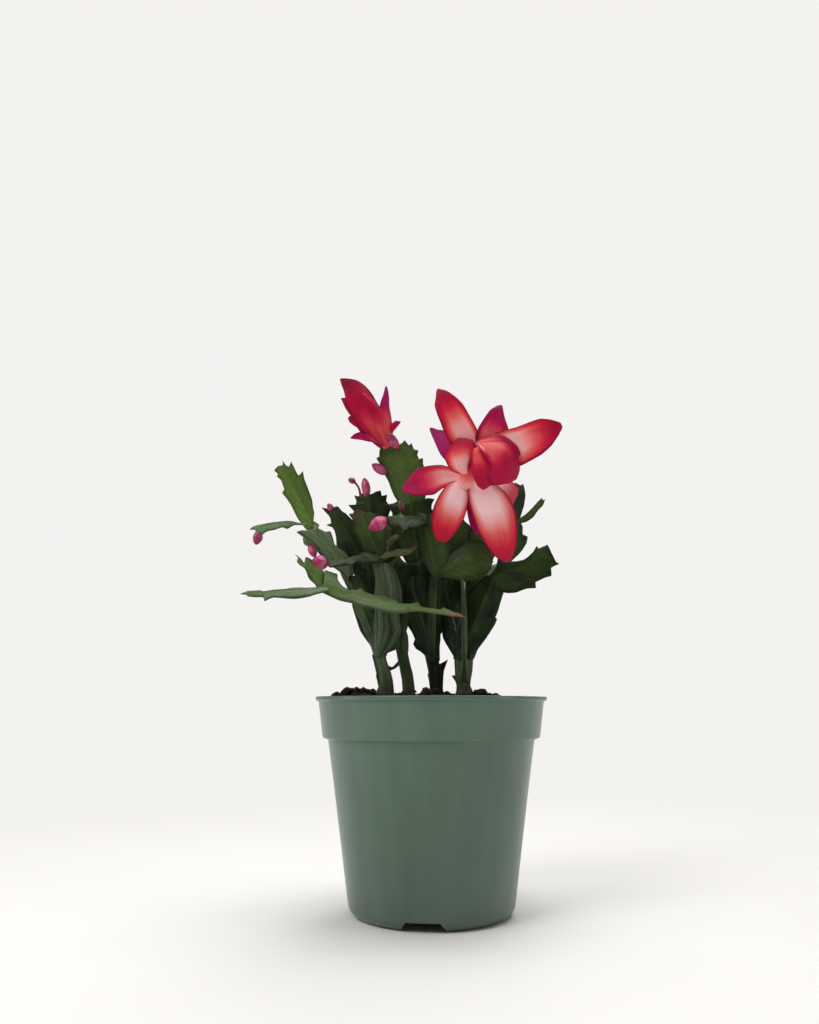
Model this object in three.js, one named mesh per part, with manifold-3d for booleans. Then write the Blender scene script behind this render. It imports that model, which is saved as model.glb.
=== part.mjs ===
// A flowering christmas cactus in a round plastic nursery pot, in millimetres, +Z up.
// The origin is the centre of the pot's flat base, and the front of the plant faces -Y.
// Seven rooted cuttings stand in holes in the soil. Each is one leafy stem: a chain of flat, toothed
// stem segments grown together at their joints. Two blooms and twelve buds sit at segment tips.
import * as THREE from 'three';
import { mergeVertices } from 'three/addons/utils/BufferGeometryUtils.js';
import Module from 'manifold-3d';

const wasm = await Module();
wasm.setup();

// Driving dimensions, in millimetres
const GAP = 0.35; // what separate pieces keep between them where they touch
const POT = {
  height: 95.5,
  lipRadius: 52.5,
  lipHeight: 1.9,
  collarTopRadius: 51.4,
  collarBottomRadius: 49.3,
  collarBottom: 77,
  bodyTopRadius: 46.6,
  bodyBottomRadius: 37.3,
  cornerRadius: 5.5,
  wall: 1.2,
  sides: 48,
};
const CHANNEL = {
  count: 3,
  first: -97,
  height: 4.2,
  topWidth: 14,
  footWidth: 21.5,
  inner: 13,
  outer: 60,
  skin: 1.1,
  holeRadius: 2.6,
};
const SOIL = { edge: 92.6, crown: 3.4, ripple: 0.7, rings: 5, sectors: 24, bits: 26 };
const ROOT = { bottom: 80, top: 101, sides: 10 };
const BLADE = { rim: 0.9, rib: 2.3, neck: 2.1, sink: 1.8 };
const PETAL = { edge: 0.7, rib: 1.1 };

const COLOURS = {
  pot: { color: '#5f7a68', roughness: 0.45 },
  soil: { color: '#2b201b', roughness: 0.95 },
  stem: { color: '#3d5c2c', roughness: 0.5 },
  bloom: { color: '#d5213c', roughness: 0.45 },
  bud: { color: '#c63c74', roughness: 0.45 },
};

// Joints of each cutting, and the flat segments that link them.
// A segment is [from, to, width, the way its flat side faces, options].
const FRONT = [0, -1, 0];
const STEMS = {
  stem_left: {
    root: { at: [-21.3, -6], across: 3.9, deep: 2.7 },
    joints: {
      soil: [-21.3, -6, 98], low: [-23.2, -6, 116], mid: [-23.4, -9.5, 159], wing: [-38.5, 1, 151.5],
      fan: [-32.5, -12.5, 179], reach: [-46, -20.5, 155.5], young: [-6, -17, 160.5],
      curl: [-14.5, -15, 166.5], arm: [-54, -11, 173], top: [-66.8, -17, 198.5],
      droop: [-78, -25, 169.5], hook: [-59.6, -15, 165], twig: [-14.6, -7, 111.4],
    },
    segments: [
      ['soil', 'low', 8.4, FRONT, { stalk: true }],
      ['low', 'twig', 2, [0.3, -0.9, 0.3], { bow: 0.3, young: true, from: [-19.4, -6, 107.2] }],
      ['low', 'mid', 16, [-0.1, -1, -0.05], { bow: -2, old: true }],
      ['low', 'wing', 14.5, [-0.72, -0.7, 0], { bow: -1.5 }],
      ['mid', 'fan', 14, [-0.2, -1, 0.1], { bow: 1 }],
      ['mid', 'reach', 10.5, [0, -0.55, 0.85], { bow: 1.5 }],
      ['mid', 'young', 7, [0, -0.6, 0.8], { bow: 1, young: true }],
      ['mid', 'curl', 4.5, [0.2, -0.6, 0.8], { bow: -1.2, young: true }],
      ['wing', 'arm', 17, [0.6, -0.55, 0.58], { bow: 1.2 }],
      ['arm', 'top', 12.4, [0.1, -1, 0.12], { bow: -1 }],
      ['arm', 'droop', 7.5, [0, -0.8, 0.6], { bow: 2.6 }],
      ['arm', 'hook', 7, [-0.3, -1, -0.25], { bow: 0.5, young: true }],
    ],
  },
  stem_front: {
    root: { at: [-10.2, -19.5], across: 2.7, deep: 2.2 },
    joints: {
      soil: [-10.2, -19.5, 100], low: [-12.6, -21.5, 117], mid: [-13.9, -25, 134.4],
      left: [-47.4, -34, 143.4], tip: [-79.5, -40, 138], horn: [-57.5, -33, 155], right: [12, -30, 130.4],
    },
    segments: [
      ['soil', 'low', 6, [0.5, -0.85, 0], { stalk: true, bow: -1.2 }],
      ['low', 'mid', 6.5, [0.9, -0.5, 0], { bow: 0.6, old: true }],
      ['mid', 'left', 15, [0.05, -0.4, 1], { bow: -1.4, twist: -46 }],
      ['left', 'tip', 8.8, [0, -0.6, 0.8], { bow: 0.4, from: [-46.6, -35.2, 140.6] }],
      ['left', 'horn', 11, [0.75, -0.6, 0.35], { bow: 0.6, from: [-48.4, -35, 141.6] }],
      ['mid', 'right', 8.5, [0, -0.6, 0.8], { bow: 1.2, young: true }],
    ],
  },
  stem_centre: {
    root: { at: [2.4, -6], across: 3.5, deep: 2.6 },
    joints: {
      soil: [2.4, -6, 98], low: [1.6, -6, 113], mid: [2.7, -9, 150.5], lobe: [-9.6, -1, 148],
      fan: [-2.8, -12.5, 175], reach: [-20, -20, 173.8], round: [26, -18.5, 160],
      bearer: [13.4, -16.5, 185.5],
    },
    segments: [
      ['soil', 'low', 8, FRONT, { stalk: true }],
      ['low', 'mid', 8.5, FRONT, { bow: 0.5 }],
      ['low', 'lobe', 16, [-0.1, -1, 0], { bow: -1.5, old: true }],
      ['mid', 'fan', 16, [-0.25, -1, 0], { bow: 1.2 }],
      ['mid', 'round', 17.5, [0.1, -1, 0.15], { bow: 1.2, old: true }],
      ['mid', 'bearer', 16.5, [0.2, -1, 0.1], { bow: -1 }],
      ['fan', 'reach', 12, [0, -0.75, 0.66], { bow: 1.6 }],
    ],
  },
  stem_right: {
    root: { at: [14.8, -10], across: 4.2, deep: 2.8 },
    joints: {
      soil: [14.8, -10, 98], low: [14.2, -10, 115], right: [28.4, -9.5, 149], left: [6.8, 2, 146],
      fin: [14.3, -14.6, 145], side: [53.2, -15.5, 160.3], back: [39.8, 3, 188.5], spur: [52.6, -3, 186.4],
    },
    segments: [
      ['soil', 'low', 8.6, FRONT, { stalk: true }],
      ['low', 'right', 17.5, [0.1, -1, 0], { bow: -1.5 }],
      ['low', 'left', 14, [-0.3, -1, 0], { bow: -1, old: true }],
      ['low', 'fin', 9, [1, -0.12, 0], { bow: 0.4, from: [14.4, -12, 104] }],
      ['right', 'side', 16.5, [0.05, -1, 0.12], { bow: 1.6 }],
      ['right', 'back', 16.5, [0.5, -0.85, 0], { bow: -2 }],
      ['back', 'spur', 4.2, [0.2, -0.9, 0.4], { young: true, from: [39.6, 2.6, 176] }],
    ],
  },
  stem_back: {
    root: { at: [2.8, 14], across: 3.6, deep: 2.8 },
    joints: {
      soil: [2.8, 14, 98], low: [0.6, 13.5, 116], mid: [-5.6, 8.5, 159], waist: [-9.8, 2, 188],
      crown: [-14.6, -3, 212.5], rear: [10, 24, 152], rearTop: [15, 30, 186], side: [16, 6, 178],
    },
    segments: [
      ['soil', 'low', 5.6, FRONT, { stalk: true }],
      ['low', 'mid', 23, [-0.1, -1, 0], { bow: 1.2, old: true }],
      ['low', 'rear', 16, [0.3, 0.95, 0], { bow: 1.2, old: true, from: [-1, 13, 124] }],
      ['mid', 'waist', 22, [0, -1, 0], { bow: 1 }],
      ['mid', 'side', 15, [0.2, -1, 0.2], { bow: 1 }],
      ['waist', 'crown', 20.5, [0.1, -1, 0], { bow: 1 }],
      ['rear', 'rearTop', 16, [0.2, 0.95, 0.1], { bow: -1.5 }],
    ],
  },
  stem_back_left: {
    root: { at: [-21.4, 12], across: 2.9, deep: 2.6 },
    joints: {
      soil: [-21.4, 12, 98], low: [-24.8, 12.5, 116], mid: [-30, 9.5, 157], far: [-46, 5.5, 183.5],
      waist: [-29, 11, 170], crown: [-29.6, 8.5, 192], rear: [-30, 27, 146], rearTop: [-36, 41, 168],
      rearSide: [-14, 33, 164], gap: [-15.5, 9.5, 177.5],
    },
    segments: [
      ['soil', 'low', 5.6, FRONT, { stalk: true }],
      ['low', 'mid', 17, [0, -1, 0], { bow: 1, old: true }],
      ['mid', 'far', 15.5, [-0.1, -1, 0.1], { bow: 1.2 }],
      ['mid', 'waist', 14, [0.2, -1, 0], { old: true }],
      ['mid', 'gap', 17, [0.2, -0.95, 0.2], { bow: 0.8 }],
      ['waist', 'crown', 18, [0, -1, 0], { bow: 0.6 }],
      ['low', 'rear', 15, [-0.3, 0.95, 0.2], { bow: 1.5, old: true }],
      ['rear', 'rearTop', 13.5, [-0.1, 0.5, 0.85], { bow: 2 }],
      ['rear', 'rearSide', 12.5, [0, 0.95, 0.3], { bow: 1 }],
    ],
  },
  stem_back_right: {
    root: { at: [16.4, 13], across: 3.6, deep: 2.8 },
    joints: {
      soil: [16.4, 13, 98], low: [17.4, 14, 116], mid: [21.5, 18, 152], crown: [27, 15, 181],
      rear: [31, 36, 172], side: [37, 26, 160], sideTop: [39.5, 21, 180],
    },
    segments: [
      ['soil', 'low', 5.4, FRONT, { stalk: true }],
      ['low', 'mid', 18, [0.3, -0.95, 0], { bow: -1.2, old: true }],
      ['mid', 'crown', 16, [0.1, -1, 0], { bow: 1 }],
      ['mid', 'rear', 14, [0.4, 0.6, 0.6], { bow: 1.6 }],
      ['mid', 'side', 13, [0.1, -0.4, 0.9], { bow: 1.4 }],
      ['side', 'sideTop', 12, [0.75, 0.6, 0.2], { bow: 0.8 }],
    ],
  },
};

// The open bloom: its tube's line and radii, and its petals as [from, to, width, bow, cup, face]. A cup
// below 0 curls the rims back. The folded petals still close over one another in the mouth of the tube.
const WIDE = [0.15, -1, 0.05];
const OPEN_BLOOM = {
  tube: [
    [13.6, -17, 187, 1.7], [13.6, -20, 187.6, 2.4], [13.8, -25, 187.6, 3.4], [14.8, -31, 188.4, 3.7],
    [16.4, -38.5, 193, 3.8], [18.8, -45, 198.4, 2.8], [19.2, -46.6, 198.8, 1.2],
  ],
  petals: [
    [[14, -27, 191], [-13, -33, 185], 14, 2.6, 0.8, [-0.1, -1, 0.25]],
    [[14, -28, 189.5], [4.5, -36, 161], 14, 3, 0.9, WIDE],
    [[18, -29, 189.5], [32, -36, 152.5], 19, 3.4, 0.9, WIDE],
    [[14.5, -34, 191], [-1, -28, 213.5], 9, 1.6, 0.5, [-0.2, -1, 0]],
    [[17.5, -28, 189], [36, -32, 180], 8.5, 1.6, 0.6, [0.35, -1, -0.1]],
    [[17, -26, 187.5], [19.5, -29, 165.5], 7.5, 1.4, 0.5, [0, -1, -0.15]],
    [[18, -38, 200], [2.5, -40, 227.5], 14, 2.6, 0.9, WIDE],
    [[21, -38, 201], [30, -36, 221.5], 13, 2, 0.8, WIDE],
    [[22, -39, 199], [55, -43, 210.5], 16, 3, 0.9, [0.25, -1, 0.1]],
    [[18.5, -45, 200], [5.5, -43, 191.5], 15, 3.6, -1.6, [-0.45, -0.85, 0.1]],
    [[18.5, -44, 200], [35.5, -46.5, 194], 14, 2.4, 1, [0.1, -0.92, 0.32]],
    [[19.5, -46.5, 200], [35, -45, 185.5], 18, 6.6, -3.2, [0.3, -0.95, 0.1]],
    [[18, -48, 198], [21, -45, 181], 8.5, 5, -3, [-0.15, -1, -0.05]],
  ],
  folded: {
    from: [19.5, -43, 198],
    to: [26, -47, 191],
    count: 4,
    width: 8,
    bow: 2.4,
    cup: -2,
    gather: 1.4,
  },
};

// The bloom that is still opening, at the top of the tallest cutting.
const OPENING_BLOOM = {
  tube: [
    [-19.8, -3.6, 211.8, 2.2], [-21, -4, 215.4, 3], [-23.4, -5.2, 221, 4.4], [-27.5, -7, 227.6, 4.8],
    [-32, -9, 233.6, 3.4], [-35, -10.2, 238, 1.6],
  ],
  petals: [
    [[-22, -5.5, 213.5], [-42, -12.5, 242.5], 15, 3.4, -2.2, [0.25, -1, 0.2]],
    [[-23, -3.5, 213], [-42, -8.5, 234.5], 6, 2.4, -1.5, [-0.2, -1, 0.1]],
    [[-23.5, -4.5, 212.5], [-38.5, -10, 224.5], 4.5, 1.8, -1.2, [-0.4, -1, -0.1]],
    [[-23, -5.5, 213.5], [-37, -11.5, 214.5], 6, 1.4, 0.6, [-0.1, -1, 0.3]],
    [[-20.5, -4.5, 216.5], [-21, -3, 242.5], 8, 1.2, -1.5, [0.7, -0.7, 0.1]],
    [[-19.5, -4.5, 217.5], [-14, -6, 224], 3.5, 0.8, 0.4, [0.4, -0.8, 0.4]],
    [[-23.4, -2.2, 219.6], [-34, 0.5, 238], 12, 2.6, -2, [-0.2, 1, 0.2]],
    [[-22, -1.4, 218.6], [-24.6, 7, 233], 8, 1.4, -1.4, [0.5, 0.85, 0.2]],
    [[-22.6, -2.4, 216.8], [-30.5, 6, 221], 7, 1.2, 0.6, [-0.4, 0.8, 0.5]],
  ],
};

// Closed buds as [base, tip, radius]
const BUDS = {
  bud_droop: [[-75.6, -24.9, 167.9], [-77, -26.8, 161.3], 2.1],
  bud_hook: [[-54.4, -15.2, 163.6], [-52.2, -17, 157.4], 2],
  bud_reach: [[-46.6, -20.8, 153.2], [-52.4, -25, 154.6], 3.2],
  bud_far: [[-46.6, 5.5, 183.8], [-48.8, 5, 187.2], 1.5],
  bud_crown: [[-30.3, 8.4, 191.4], [-31.6, 8, 200.6], 2.2],
  bud_reach_mid: [[-20.4, -20, 174], [-27.6, -24, 168.8], 3],
  bud_shoulder: [[-20.9, -1.6, 200], [-27.4, -4.6, 203.8], 2.2],
  bud_top: [[-15.4, -4.6, 211.6], [-19.6, -10.2, 216.8], 2.3],
  bud_waist: [[-12.8, -13.4, 179.2], [-14.4, -14.8, 183.8], 1.3],
  bud_rear: [[30.8, 35.4, 171], [33, 42.6, 176.6], 2.3],
  bud_rear_left: [[-36.2, 42, 167.2], [-38.4, 47.8, 170.6], 2.3],
};
const STALKED_BUD = {
  stalk: [[-33.3, 9.2, 191.4, 0.7], [-34.4, 9, 196, 0.6], [-36.8, 8.8, 199.2, 0.6]],
  head: [[-36, 8.9, 198.8], [-39.4, 8.4, 200], 1.5],
};

// A seeded source of numbers between 0 and 1
function dice(seed) {
  let state = seed;
  return () => {
    state = (state * 1664525 + 1013904223) % 4294967296;
    return state / 4294967296;
  };
}

const vec = (p) => new THREE.Vector3(p[0], p[1], p[2]);

// A closed skin through rings of points, each with as many points, and a flat cap on both ends.
// A ring runs out along one face and back along the other, so a cap is a strip between the two.
function skin(rings) {
  const n = rings[0].length;
  const last = (rings.length - 1) * n;
  const index = [];
  for (let i = 0; i + 1 < rings.length; i++) {
    for (let k = 0; k < n; k++) {
      const a = i * n + k;
      const b = i * n + ((k + 1) % n);
      index.push(a, b, b + n, a, b + n, a + n);
    }
  }
  for (let k = 0; k < n / 2 - 1; k++) {
    const [a, b, c, d] = [k, k + 1, n - 2 - k, n - 1 - k];
    index.push(a, c, b, a, d, c);
    index.push(last + a, last + b, last + c, last + a, last + c, last + d);
  }
  const geometry = new THREE.BufferGeometry();
  const flat = rings.flat().flatMap((p) => [p.x, p.y, p.z]);
  geometry.setAttribute('position', new THREE.Float32BufferAttribute(flat, 3));
  geometry.setIndex(index);
  return geometry;
}

// A closed geometry as a solid that can be joined and cut
function solid(geometry) {
  const bare = geometry.clone();
  bare.deleteAttribute('normal');
  bare.deleteAttribute('uv');
  const merged = mergeVertices(bare, 1e-3);
  const vertProperties = merged.attributes.position.array;
  const triVerts = new Uint32Array(merged.index.array);
  const made = new wasm.Manifold(new wasm.Mesh({ numProp: 3, vertProperties, triVerts }));
  if (made.volume() > 0) return made;
  for (let i = 0; i < triVerts.length; i += 3) {
    [triVerts[i + 1], triVerts[i + 2]] = [triVerts[i + 2], triVerts[i + 1]];
  }
  return new wasm.Manifold(new wasm.Mesh({ numProp: 3, vertProperties, triVerts }));
}

const joined = (solids) => solids.reduce((all, one) => all.add(one));

// The largest single body of a solid, without the scraps that a cut leaves
function whole(made) {
  return made.decompose().reduce((best, one) => (one.volume() > best.volume() ? one : best));
}

function mesh(name, made, look) {
  const shape = whole(made).getMesh();
  const geometry = new THREE.BufferGeometry();
  const points = new Float32Array(shape.numVert * 3);
  for (let i = 0; i < shape.numVert; i++) {
    points.set(shape.vertProperties.subarray(i * shape.numProp, i * shape.numProp + 3), i * 3);
  }
  geometry.setAttribute('position', new THREE.BufferAttribute(points, 3));
  geometry.setIndex(new THREE.BufferAttribute(shape.triVerts, 1));
  geometry.computeVertexNormals();
  const made3 = new THREE.Mesh(geometry, new THREE.MeshStandardMaterial({ ...look, metalness: 0 }));
  made3.name = name;
  return made3;
}

// The axes of a flat piece: along it, across it, and out of its face
function frameOf(from, to, face) {
  const along = vec(to).sub(vec(from));
  const length = along.length();
  along.normalize();
  const out = vec(face);
  out.addScaledVector(along, -out.dot(along)).normalize();
  return { start: vec(from), length, along, out, across: new THREE.Vector3().crossVectors(along, out) };
}

// Rings of a flat piece. A row of the outline is [place along the rib, place along the edge, half width,
// edge thickness, rib thickness], and the places are shares of the length.
function flatRings(frame, rows, { bow = 0, cup = 0, twist = 0, grow = 0 }) {
  const point = (share, side, lift) => {
    const turn = THREE.MathUtils.degToRad(twist) * share;
    const across = frame.across.clone().applyAxisAngle(frame.along, turn);
    const out = frame.out.clone().applyAxisAngle(frame.along, turn);
    return frame.start.clone()
      .addScaledVector(frame.along, share * frame.length)
      .addScaledVector(across, side)
      .addScaledVector(out, lift + 4 * bow * share * (1 - share));
  };
  const end = grow / frame.length;
  return rows.map(([rib, edge, half, edgeThick, ribThick, unlike = 0], i) => {
    const nudge = i === 0 ? -end : i === rows.length - 1 ? end : 0;
    const wide = half + grow;
    const rim = cup * (half * half) / 60;
    const thin = edgeThick / 2 + grow;
    const thick = ribThick / 2 + grow;
    const left = edge + nudge + unlike;
    const right = edge + nudge - unlike;
    return [
      point(left, -wide, rim + thin), point(rib + nudge, 0, thick), point(right, wide, rim + thin),
      point(right, wide, rim - thin), point(rib + nudge, 0, -thick), point(left, -wide, rim - thin),
    ];
  });
}

// Outlines as [place along the rib, place along the edge, share of the half width]. The teeth point at the
// tip. A petal's rib and edges end together, so it needs one place only.
const TOOTHED = [
  [0.16, 0.16, 0.46], [0.36, 0.36, 0.78], [0.54, 0.6, 1], [0.63, 0.62, 0.84], [0.76, 0.83, 1.02],
  [0.84, 0.86, 0.78], [0.97, 1.08, 0.6],
];
const ROUNDED = [
  [0.1, 0.1, 0.55], [0.25, 0.25, 0.88], [0.48, 0.5, 1.02], [0.56, 0.55, 0.92], [0.76, 0.8, 0.9],
  [0.84, 0.83, 0.74], [0.98, 1, 0.45],
];
const YOUNG = [[0.2, 0.2, 0.62], [0.45, 0.5, 1], [0.54, 0.54, 0.8], [0.76, 0.84, 0.86], [1, 1.05, 0.3]];
const STALK = [[0.2, 0.2, 0.9], [0.5, 0.55, 1.04], [0.64, 0.62, 0.84], [1, 1, 0.8]];
const TEPAL = [[0, 0.4], [0.18, 0.74], [0.4, 1], [0.62, 0.96], [0.84, 0.64]];

// One flat stem segment, sunk into the one that it grows from
function blade(joints, [from, to, width, face, options], order, grow = 0) {
  const start = options.from ?? joints[from];
  const frame = frameOf(start, joints[to], face);
  const thick = options.young ? BLADE.rib * 0.75 : options.stalk ? BLADE.rib * 1.9 : BLADE.rib;
  const neck = Math.min(BLADE.neck, width * 0.35) * (options.stalk ? 1.5 : 1);
  const sink = -BLADE.sink / frame.length;
  const outline = options.stalk ? STALK : options.young ? YOUNG : options.old ? ROUNDED : TOOTHED;
  const edgeThick = options.stalk ? BLADE.rim * 2.6 : BLADE.rim;
  const shift = order % 2 ? 0.035 : -0.035;
  const rows = outline.map(([rib, edge, share]) => [rib, edge, (share * width) / 2, edgeThick, thick, shift]);
  rows.unshift([sink, sink, neck, thick * 0.7, thick, 0]);
  return solid(skin(flatRings(frame, rows, { ...options, grow })));
}

// The buried foot of a cutting, an upright oval peg that widens nowhere
function rootPeg({ at, across, deep }, grow = 0, top = ROOT.top) {
  const height = top - ROOT.bottom + grow;
  const peg = new THREE.CylinderGeometry(1, 1, height, ROOT.sides);
  peg.scale(across + grow, 1, deep + grow);
  peg.rotateX(Math.PI / 2);
  peg.translate(at[0], at[1], ROOT.bottom - grow + height / 2);
  return solid(peg);
}

function stem({ root, joints, segments }, grow = 0) {
  const parts = segments.map((row, order) => blade(joints, row, order, grow));
  return joined([rootPeg(root, grow, grow ? ROOT.top + 12 : ROOT.top), ...parts]);
}

// One petal, a pointed blade arched along its length and cupped across it
function petal(from, to, width, bow, cup, face) {
  const frame = frameOf(from, to, face);
  const rows = TEPAL.map(([place, share]) => [place, place, (share * width) / 2, PETAL.edge, PETAL.rib]);
  rows.push([1, 0.99, 0.5, 0.6, 0.6]);
  return solid(skin(flatRings(frame, rows, { bow, cup })));
}

// A round body along a bent line of [x, y, z, radius]
function tube(line, sides = 8) {
  const centres = line.map(vec);
  const rings = centres.map((centre, i) => {
    const before = centres[Math.max(0, i - 1)];
    const after = centres[Math.min(centres.length - 1, i + 1)];
    const along = after.clone().sub(before).normalize();
    const side = new THREE.Vector3(0, 0, 1).cross(along);
    if (side.length() < 0.1) side.set(1, 0, 0);
    side.normalize();
    const other = new THREE.Vector3().crossVectors(along, side);
    return Array.from({ length: sides }, (_, k) => {
      const turn = (k / sides) * Math.PI * 2;
      return centre.clone()
        .addScaledVector(side, Math.cos(turn) * line[i][3])
        .addScaledVector(other, Math.sin(turn) * line[i][3]);
    });
  });
  return solid(skin(rings));
}

// Petals that still close over one another around a line, each bowed away from it
function foldedPetals({ from, to, count, width, bow, cup, gather }) {
  const along = vec(to).sub(vec(from)).normalize();
  const side = new THREE.Vector3(0, 0, 1).cross(along).normalize();
  return Array.from({ length: count }, (_, k) => {
    const away = side.clone().applyAxisAngle(along, (k / count) * Math.PI * 2 + 0.5);
    const start = vec(from).addScaledVector(away, gather);
    const end = vec(to).addScaledVector(away, gather * 0.3).addScaledVector(along, k % 2 ? -2 : 0);
    return petal(start.toArray(), end.toArray(), width, bow + (k % 2) * 0.8, cup, away.toArray());
  });
}

function bloom({ tube: line, petals, folded }) {
  const laid = petals.map((row) => petal(...row));
  return joined([tube(line), ...laid, ...(folded ? foldedPetals(folded) : [])]);
}

// A closed bud: a narrow foot, a full middle and a blunt tip
const BUD_FORM = [[0, 0.42], [0.22, 0.82], [0.5, 1], [0.76, 0.78], [1, 0.2]];
function bud([base, tip, radius]) {
  const line = BUD_FORM.map(([share, wide]) => {
    const p = vec(base).lerp(vec(tip), share);
    return [p.x, p.y, p.z, wide * radius];
  });
  return tube(line);
}

const stalkedBud = ({ stalk, head }) => joined([tube(stalk, 6), bud(head)]);

// The wall of the pot at a height, on its outer face
function bodyRadius(z) {
  const share = (z - POT.cornerRadius) / (POT.collarBottom - POT.cornerRadius);
  return POT.bodyBottomRadius + (POT.bodyTopRadius - POT.bodyBottomRadius) * share;
}

// Half of the pot's section, out from the middle of the base, up the outside and down the inside
function potProfile() {
  const { height, lipRadius, lipHeight, collarTopRadius, collarBottomRadius, collarBottom, wall } = POT;
  const points = [];
  const r = POT.cornerRadius;
  for (let k = 0; k <= 3; k++) {
    const turn = (k / 3) * (Math.PI / 2);
    points.push([bodyRadius(r) - r + r * Math.sin(turn), r - r * Math.cos(turn)]);
  }
  const outside = [
    [0, 0], ...points, [POT.bodyTopRadius, collarBottom - 1.4], [collarBottomRadius - 0.7, collarBottom],
    [collarBottomRadius, collarBottom + 1], [collarTopRadius, height - lipHeight],
    [lipRadius, height - lipHeight + 0.5], [lipRadius, height - 0.3], [lipRadius - 0.3, height],
  ];
  const inside = [
    [collarTopRadius - wall, height], [collarBottomRadius - wall, collarBottom + 1.8],
    [POT.bodyTopRadius - wall, collarBottom + 0.6], [bodyRadius(r) - wall, r],
    [bodyRadius(r) - wall - 2.4, wall], [0, wall],
  ];
  return { outside, inside };
}

function lathe(profile, sides) {
  const points = profile.map(([radius, z]) => new THREE.Vector2(radius, z));
  const geometry = new THREE.LatheGeometry(points, sides);
  geometry.rotateX(Math.PI / 2);
  return solid(geometry);
}

// A bar with sloping sides that runs out from near the middle of the base, for a drain channel
function radialBar(turn, { inner, outer, topWidth, footWidth, bottom, top }) {
  const outline = new THREE.Shape([
    new THREE.Vector2(-footWidth / 2, bottom), new THREE.Vector2(footWidth / 2, bottom),
    new THREE.Vector2(topWidth / 2, top), new THREE.Vector2(-topWidth / 2, top),
  ]);
  const bar = new THREE.ExtrudeGeometry(outline, { depth: outer - inner, bevelEnabled: false });
  bar.rotateX(Math.PI / 2);
  bar.rotateZ(Math.PI);
  bar.translate(0, inner, 0);
  bar.rotateZ(THREE.MathUtils.degToRad(turn - 90));
  return solid(bar);
}

const channelStep = 360 / CHANNEL.count;
const channelTurns = Array.from({ length: CHANNEL.count }, (_, k) => CHANNEL.first + k * channelStep);

// The raised roof of one drain channel, inside the pot
function channelRoof(turn, grow = 0) {
  const skinned = CHANNEL.skin + grow;
  return radialBar(turn, {
    ...CHANNEL,
    inner: CHANNEL.inner - skinned,
    topWidth: CHANNEL.topWidth + 2 * skinned,
    footWidth: CHANNEL.footWidth + 2 * skinned,
    bottom: 0.2,
    top: CHANNEL.height + skinned,
  });
}

function pot() {
  const { outside, inside } = potProfile();
  let made = lathe([...outside, ...inside], POT.sides);
  const hull = lathe([...outside, [0, POT.height]], POT.sides);
  for (const turn of channelTurns) {
    made = made.add(channelRoof(turn).intersect(hull));
  }
  for (const turn of channelTurns) {
    made = made.subtract(radialBar(turn, { ...CHANNEL, bottom: -1, top: CHANNEL.height }));
    for (const reach of [CHANNEL.inner + 6, CHANNEL.inner + 15]) {
      const hole = new THREE.CylinderGeometry(CHANNEL.holeRadius, CHANNEL.holeRadius, 8, 10);
      hole.rotateX(Math.PI / 2);
      const way = THREE.MathUtils.degToRad(turn);
      hole.translate(reach * Math.cos(way), reach * Math.sin(way), CHANNEL.height);
      made = made.subtract(solid(hole));
    }
  }
  return made;
}

// The height of the soil at a place: a low crown, rippled, and higher at the left where it was heaped
function soilHeight(x, y) {
  const reach = Math.hypot(x, y) / 48;
  const heap = 2 * Math.exp(-((x + 30) ** 2 + (y + 6) ** 2) / 160);
  const ripple = SOIL.ripple * (Math.sin(x * 0.42 + 1.3 * Math.sin(y * 0.31)) + Math.cos(y * 0.5 + x * 0.17));
  return SOIL.edge + SOIL.crown * (1 - reach * reach) + (heap + ripple) * (1 - reach ** 6);
}

// The soil's plug: the inside of the pot, less a gap, with a rippled top
function soilPlug() {
  const r = POT.cornerRadius;
  const { rings: ringCount, sectors } = SOIL;
  const inwards = POT.wall + GAP;
  const wallAt = (z) => bodyRadius(z) - inwards;
  const sideRows = [
    [wallAt(r) - 2.8, inwards], [wallAt(r), r + 0.4], [POT.bodyTopRadius - inwards, POT.collarBottom + 0.4],
    [POT.collarBottomRadius - inwards - 0.3, POT.collarBottom + 2],
    [POT.collarTopRadius - inwards - 0.6, SOIL.edge - 0.4],
  ];
  const points = [];
  const index = [];
  const around = (k) => (k / sectors) * Math.PI * 2;
  points.push(0, 0, inwards);
  for (const [radius, z] of sideRows) {
    for (let k = 0; k < sectors; k++) {
      points.push(radius * Math.cos(around(k)), radius * Math.sin(around(k)), z);
    }
  }
  for (let i = ringCount; i >= 1; i--) {
    const radius = (i / ringCount) * (sideRows.at(-1)[0] - 0.5);
    for (let k = 0; k < sectors; k++) {
      const x = radius * Math.cos(around(k));
      const y = radius * Math.sin(around(k));
      points.push(x, y, soilHeight(x, y));
    }
  }
  const rows = sideRows.length + ringCount;
  points.push(0, 0, soilHeight(0, 0));
  const top = 1 + rows * sectors;
  for (let k = 0; k < sectors; k++) {
    const next = (k + 1) % sectors;
    index.push(0, 1 + next, 1 + k);
    for (let i = 0; i + 1 < rows; i++) {
      const a = 1 + i * sectors + k;
      const b = 1 + i * sectors + next;
      index.push(a, b, b + sectors, a, b + sectors, a + sectors);
    }
    const last = 1 + (rows - 1) * sectors;
    index.push(last + k, last + next, top);
  }
  const geometry = new THREE.BufferGeometry();
  geometry.setAttribute('position', new THREE.Float32BufferAttribute(points, 3));
  geometry.setIndex(index);
  return solid(geometry);
}

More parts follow.
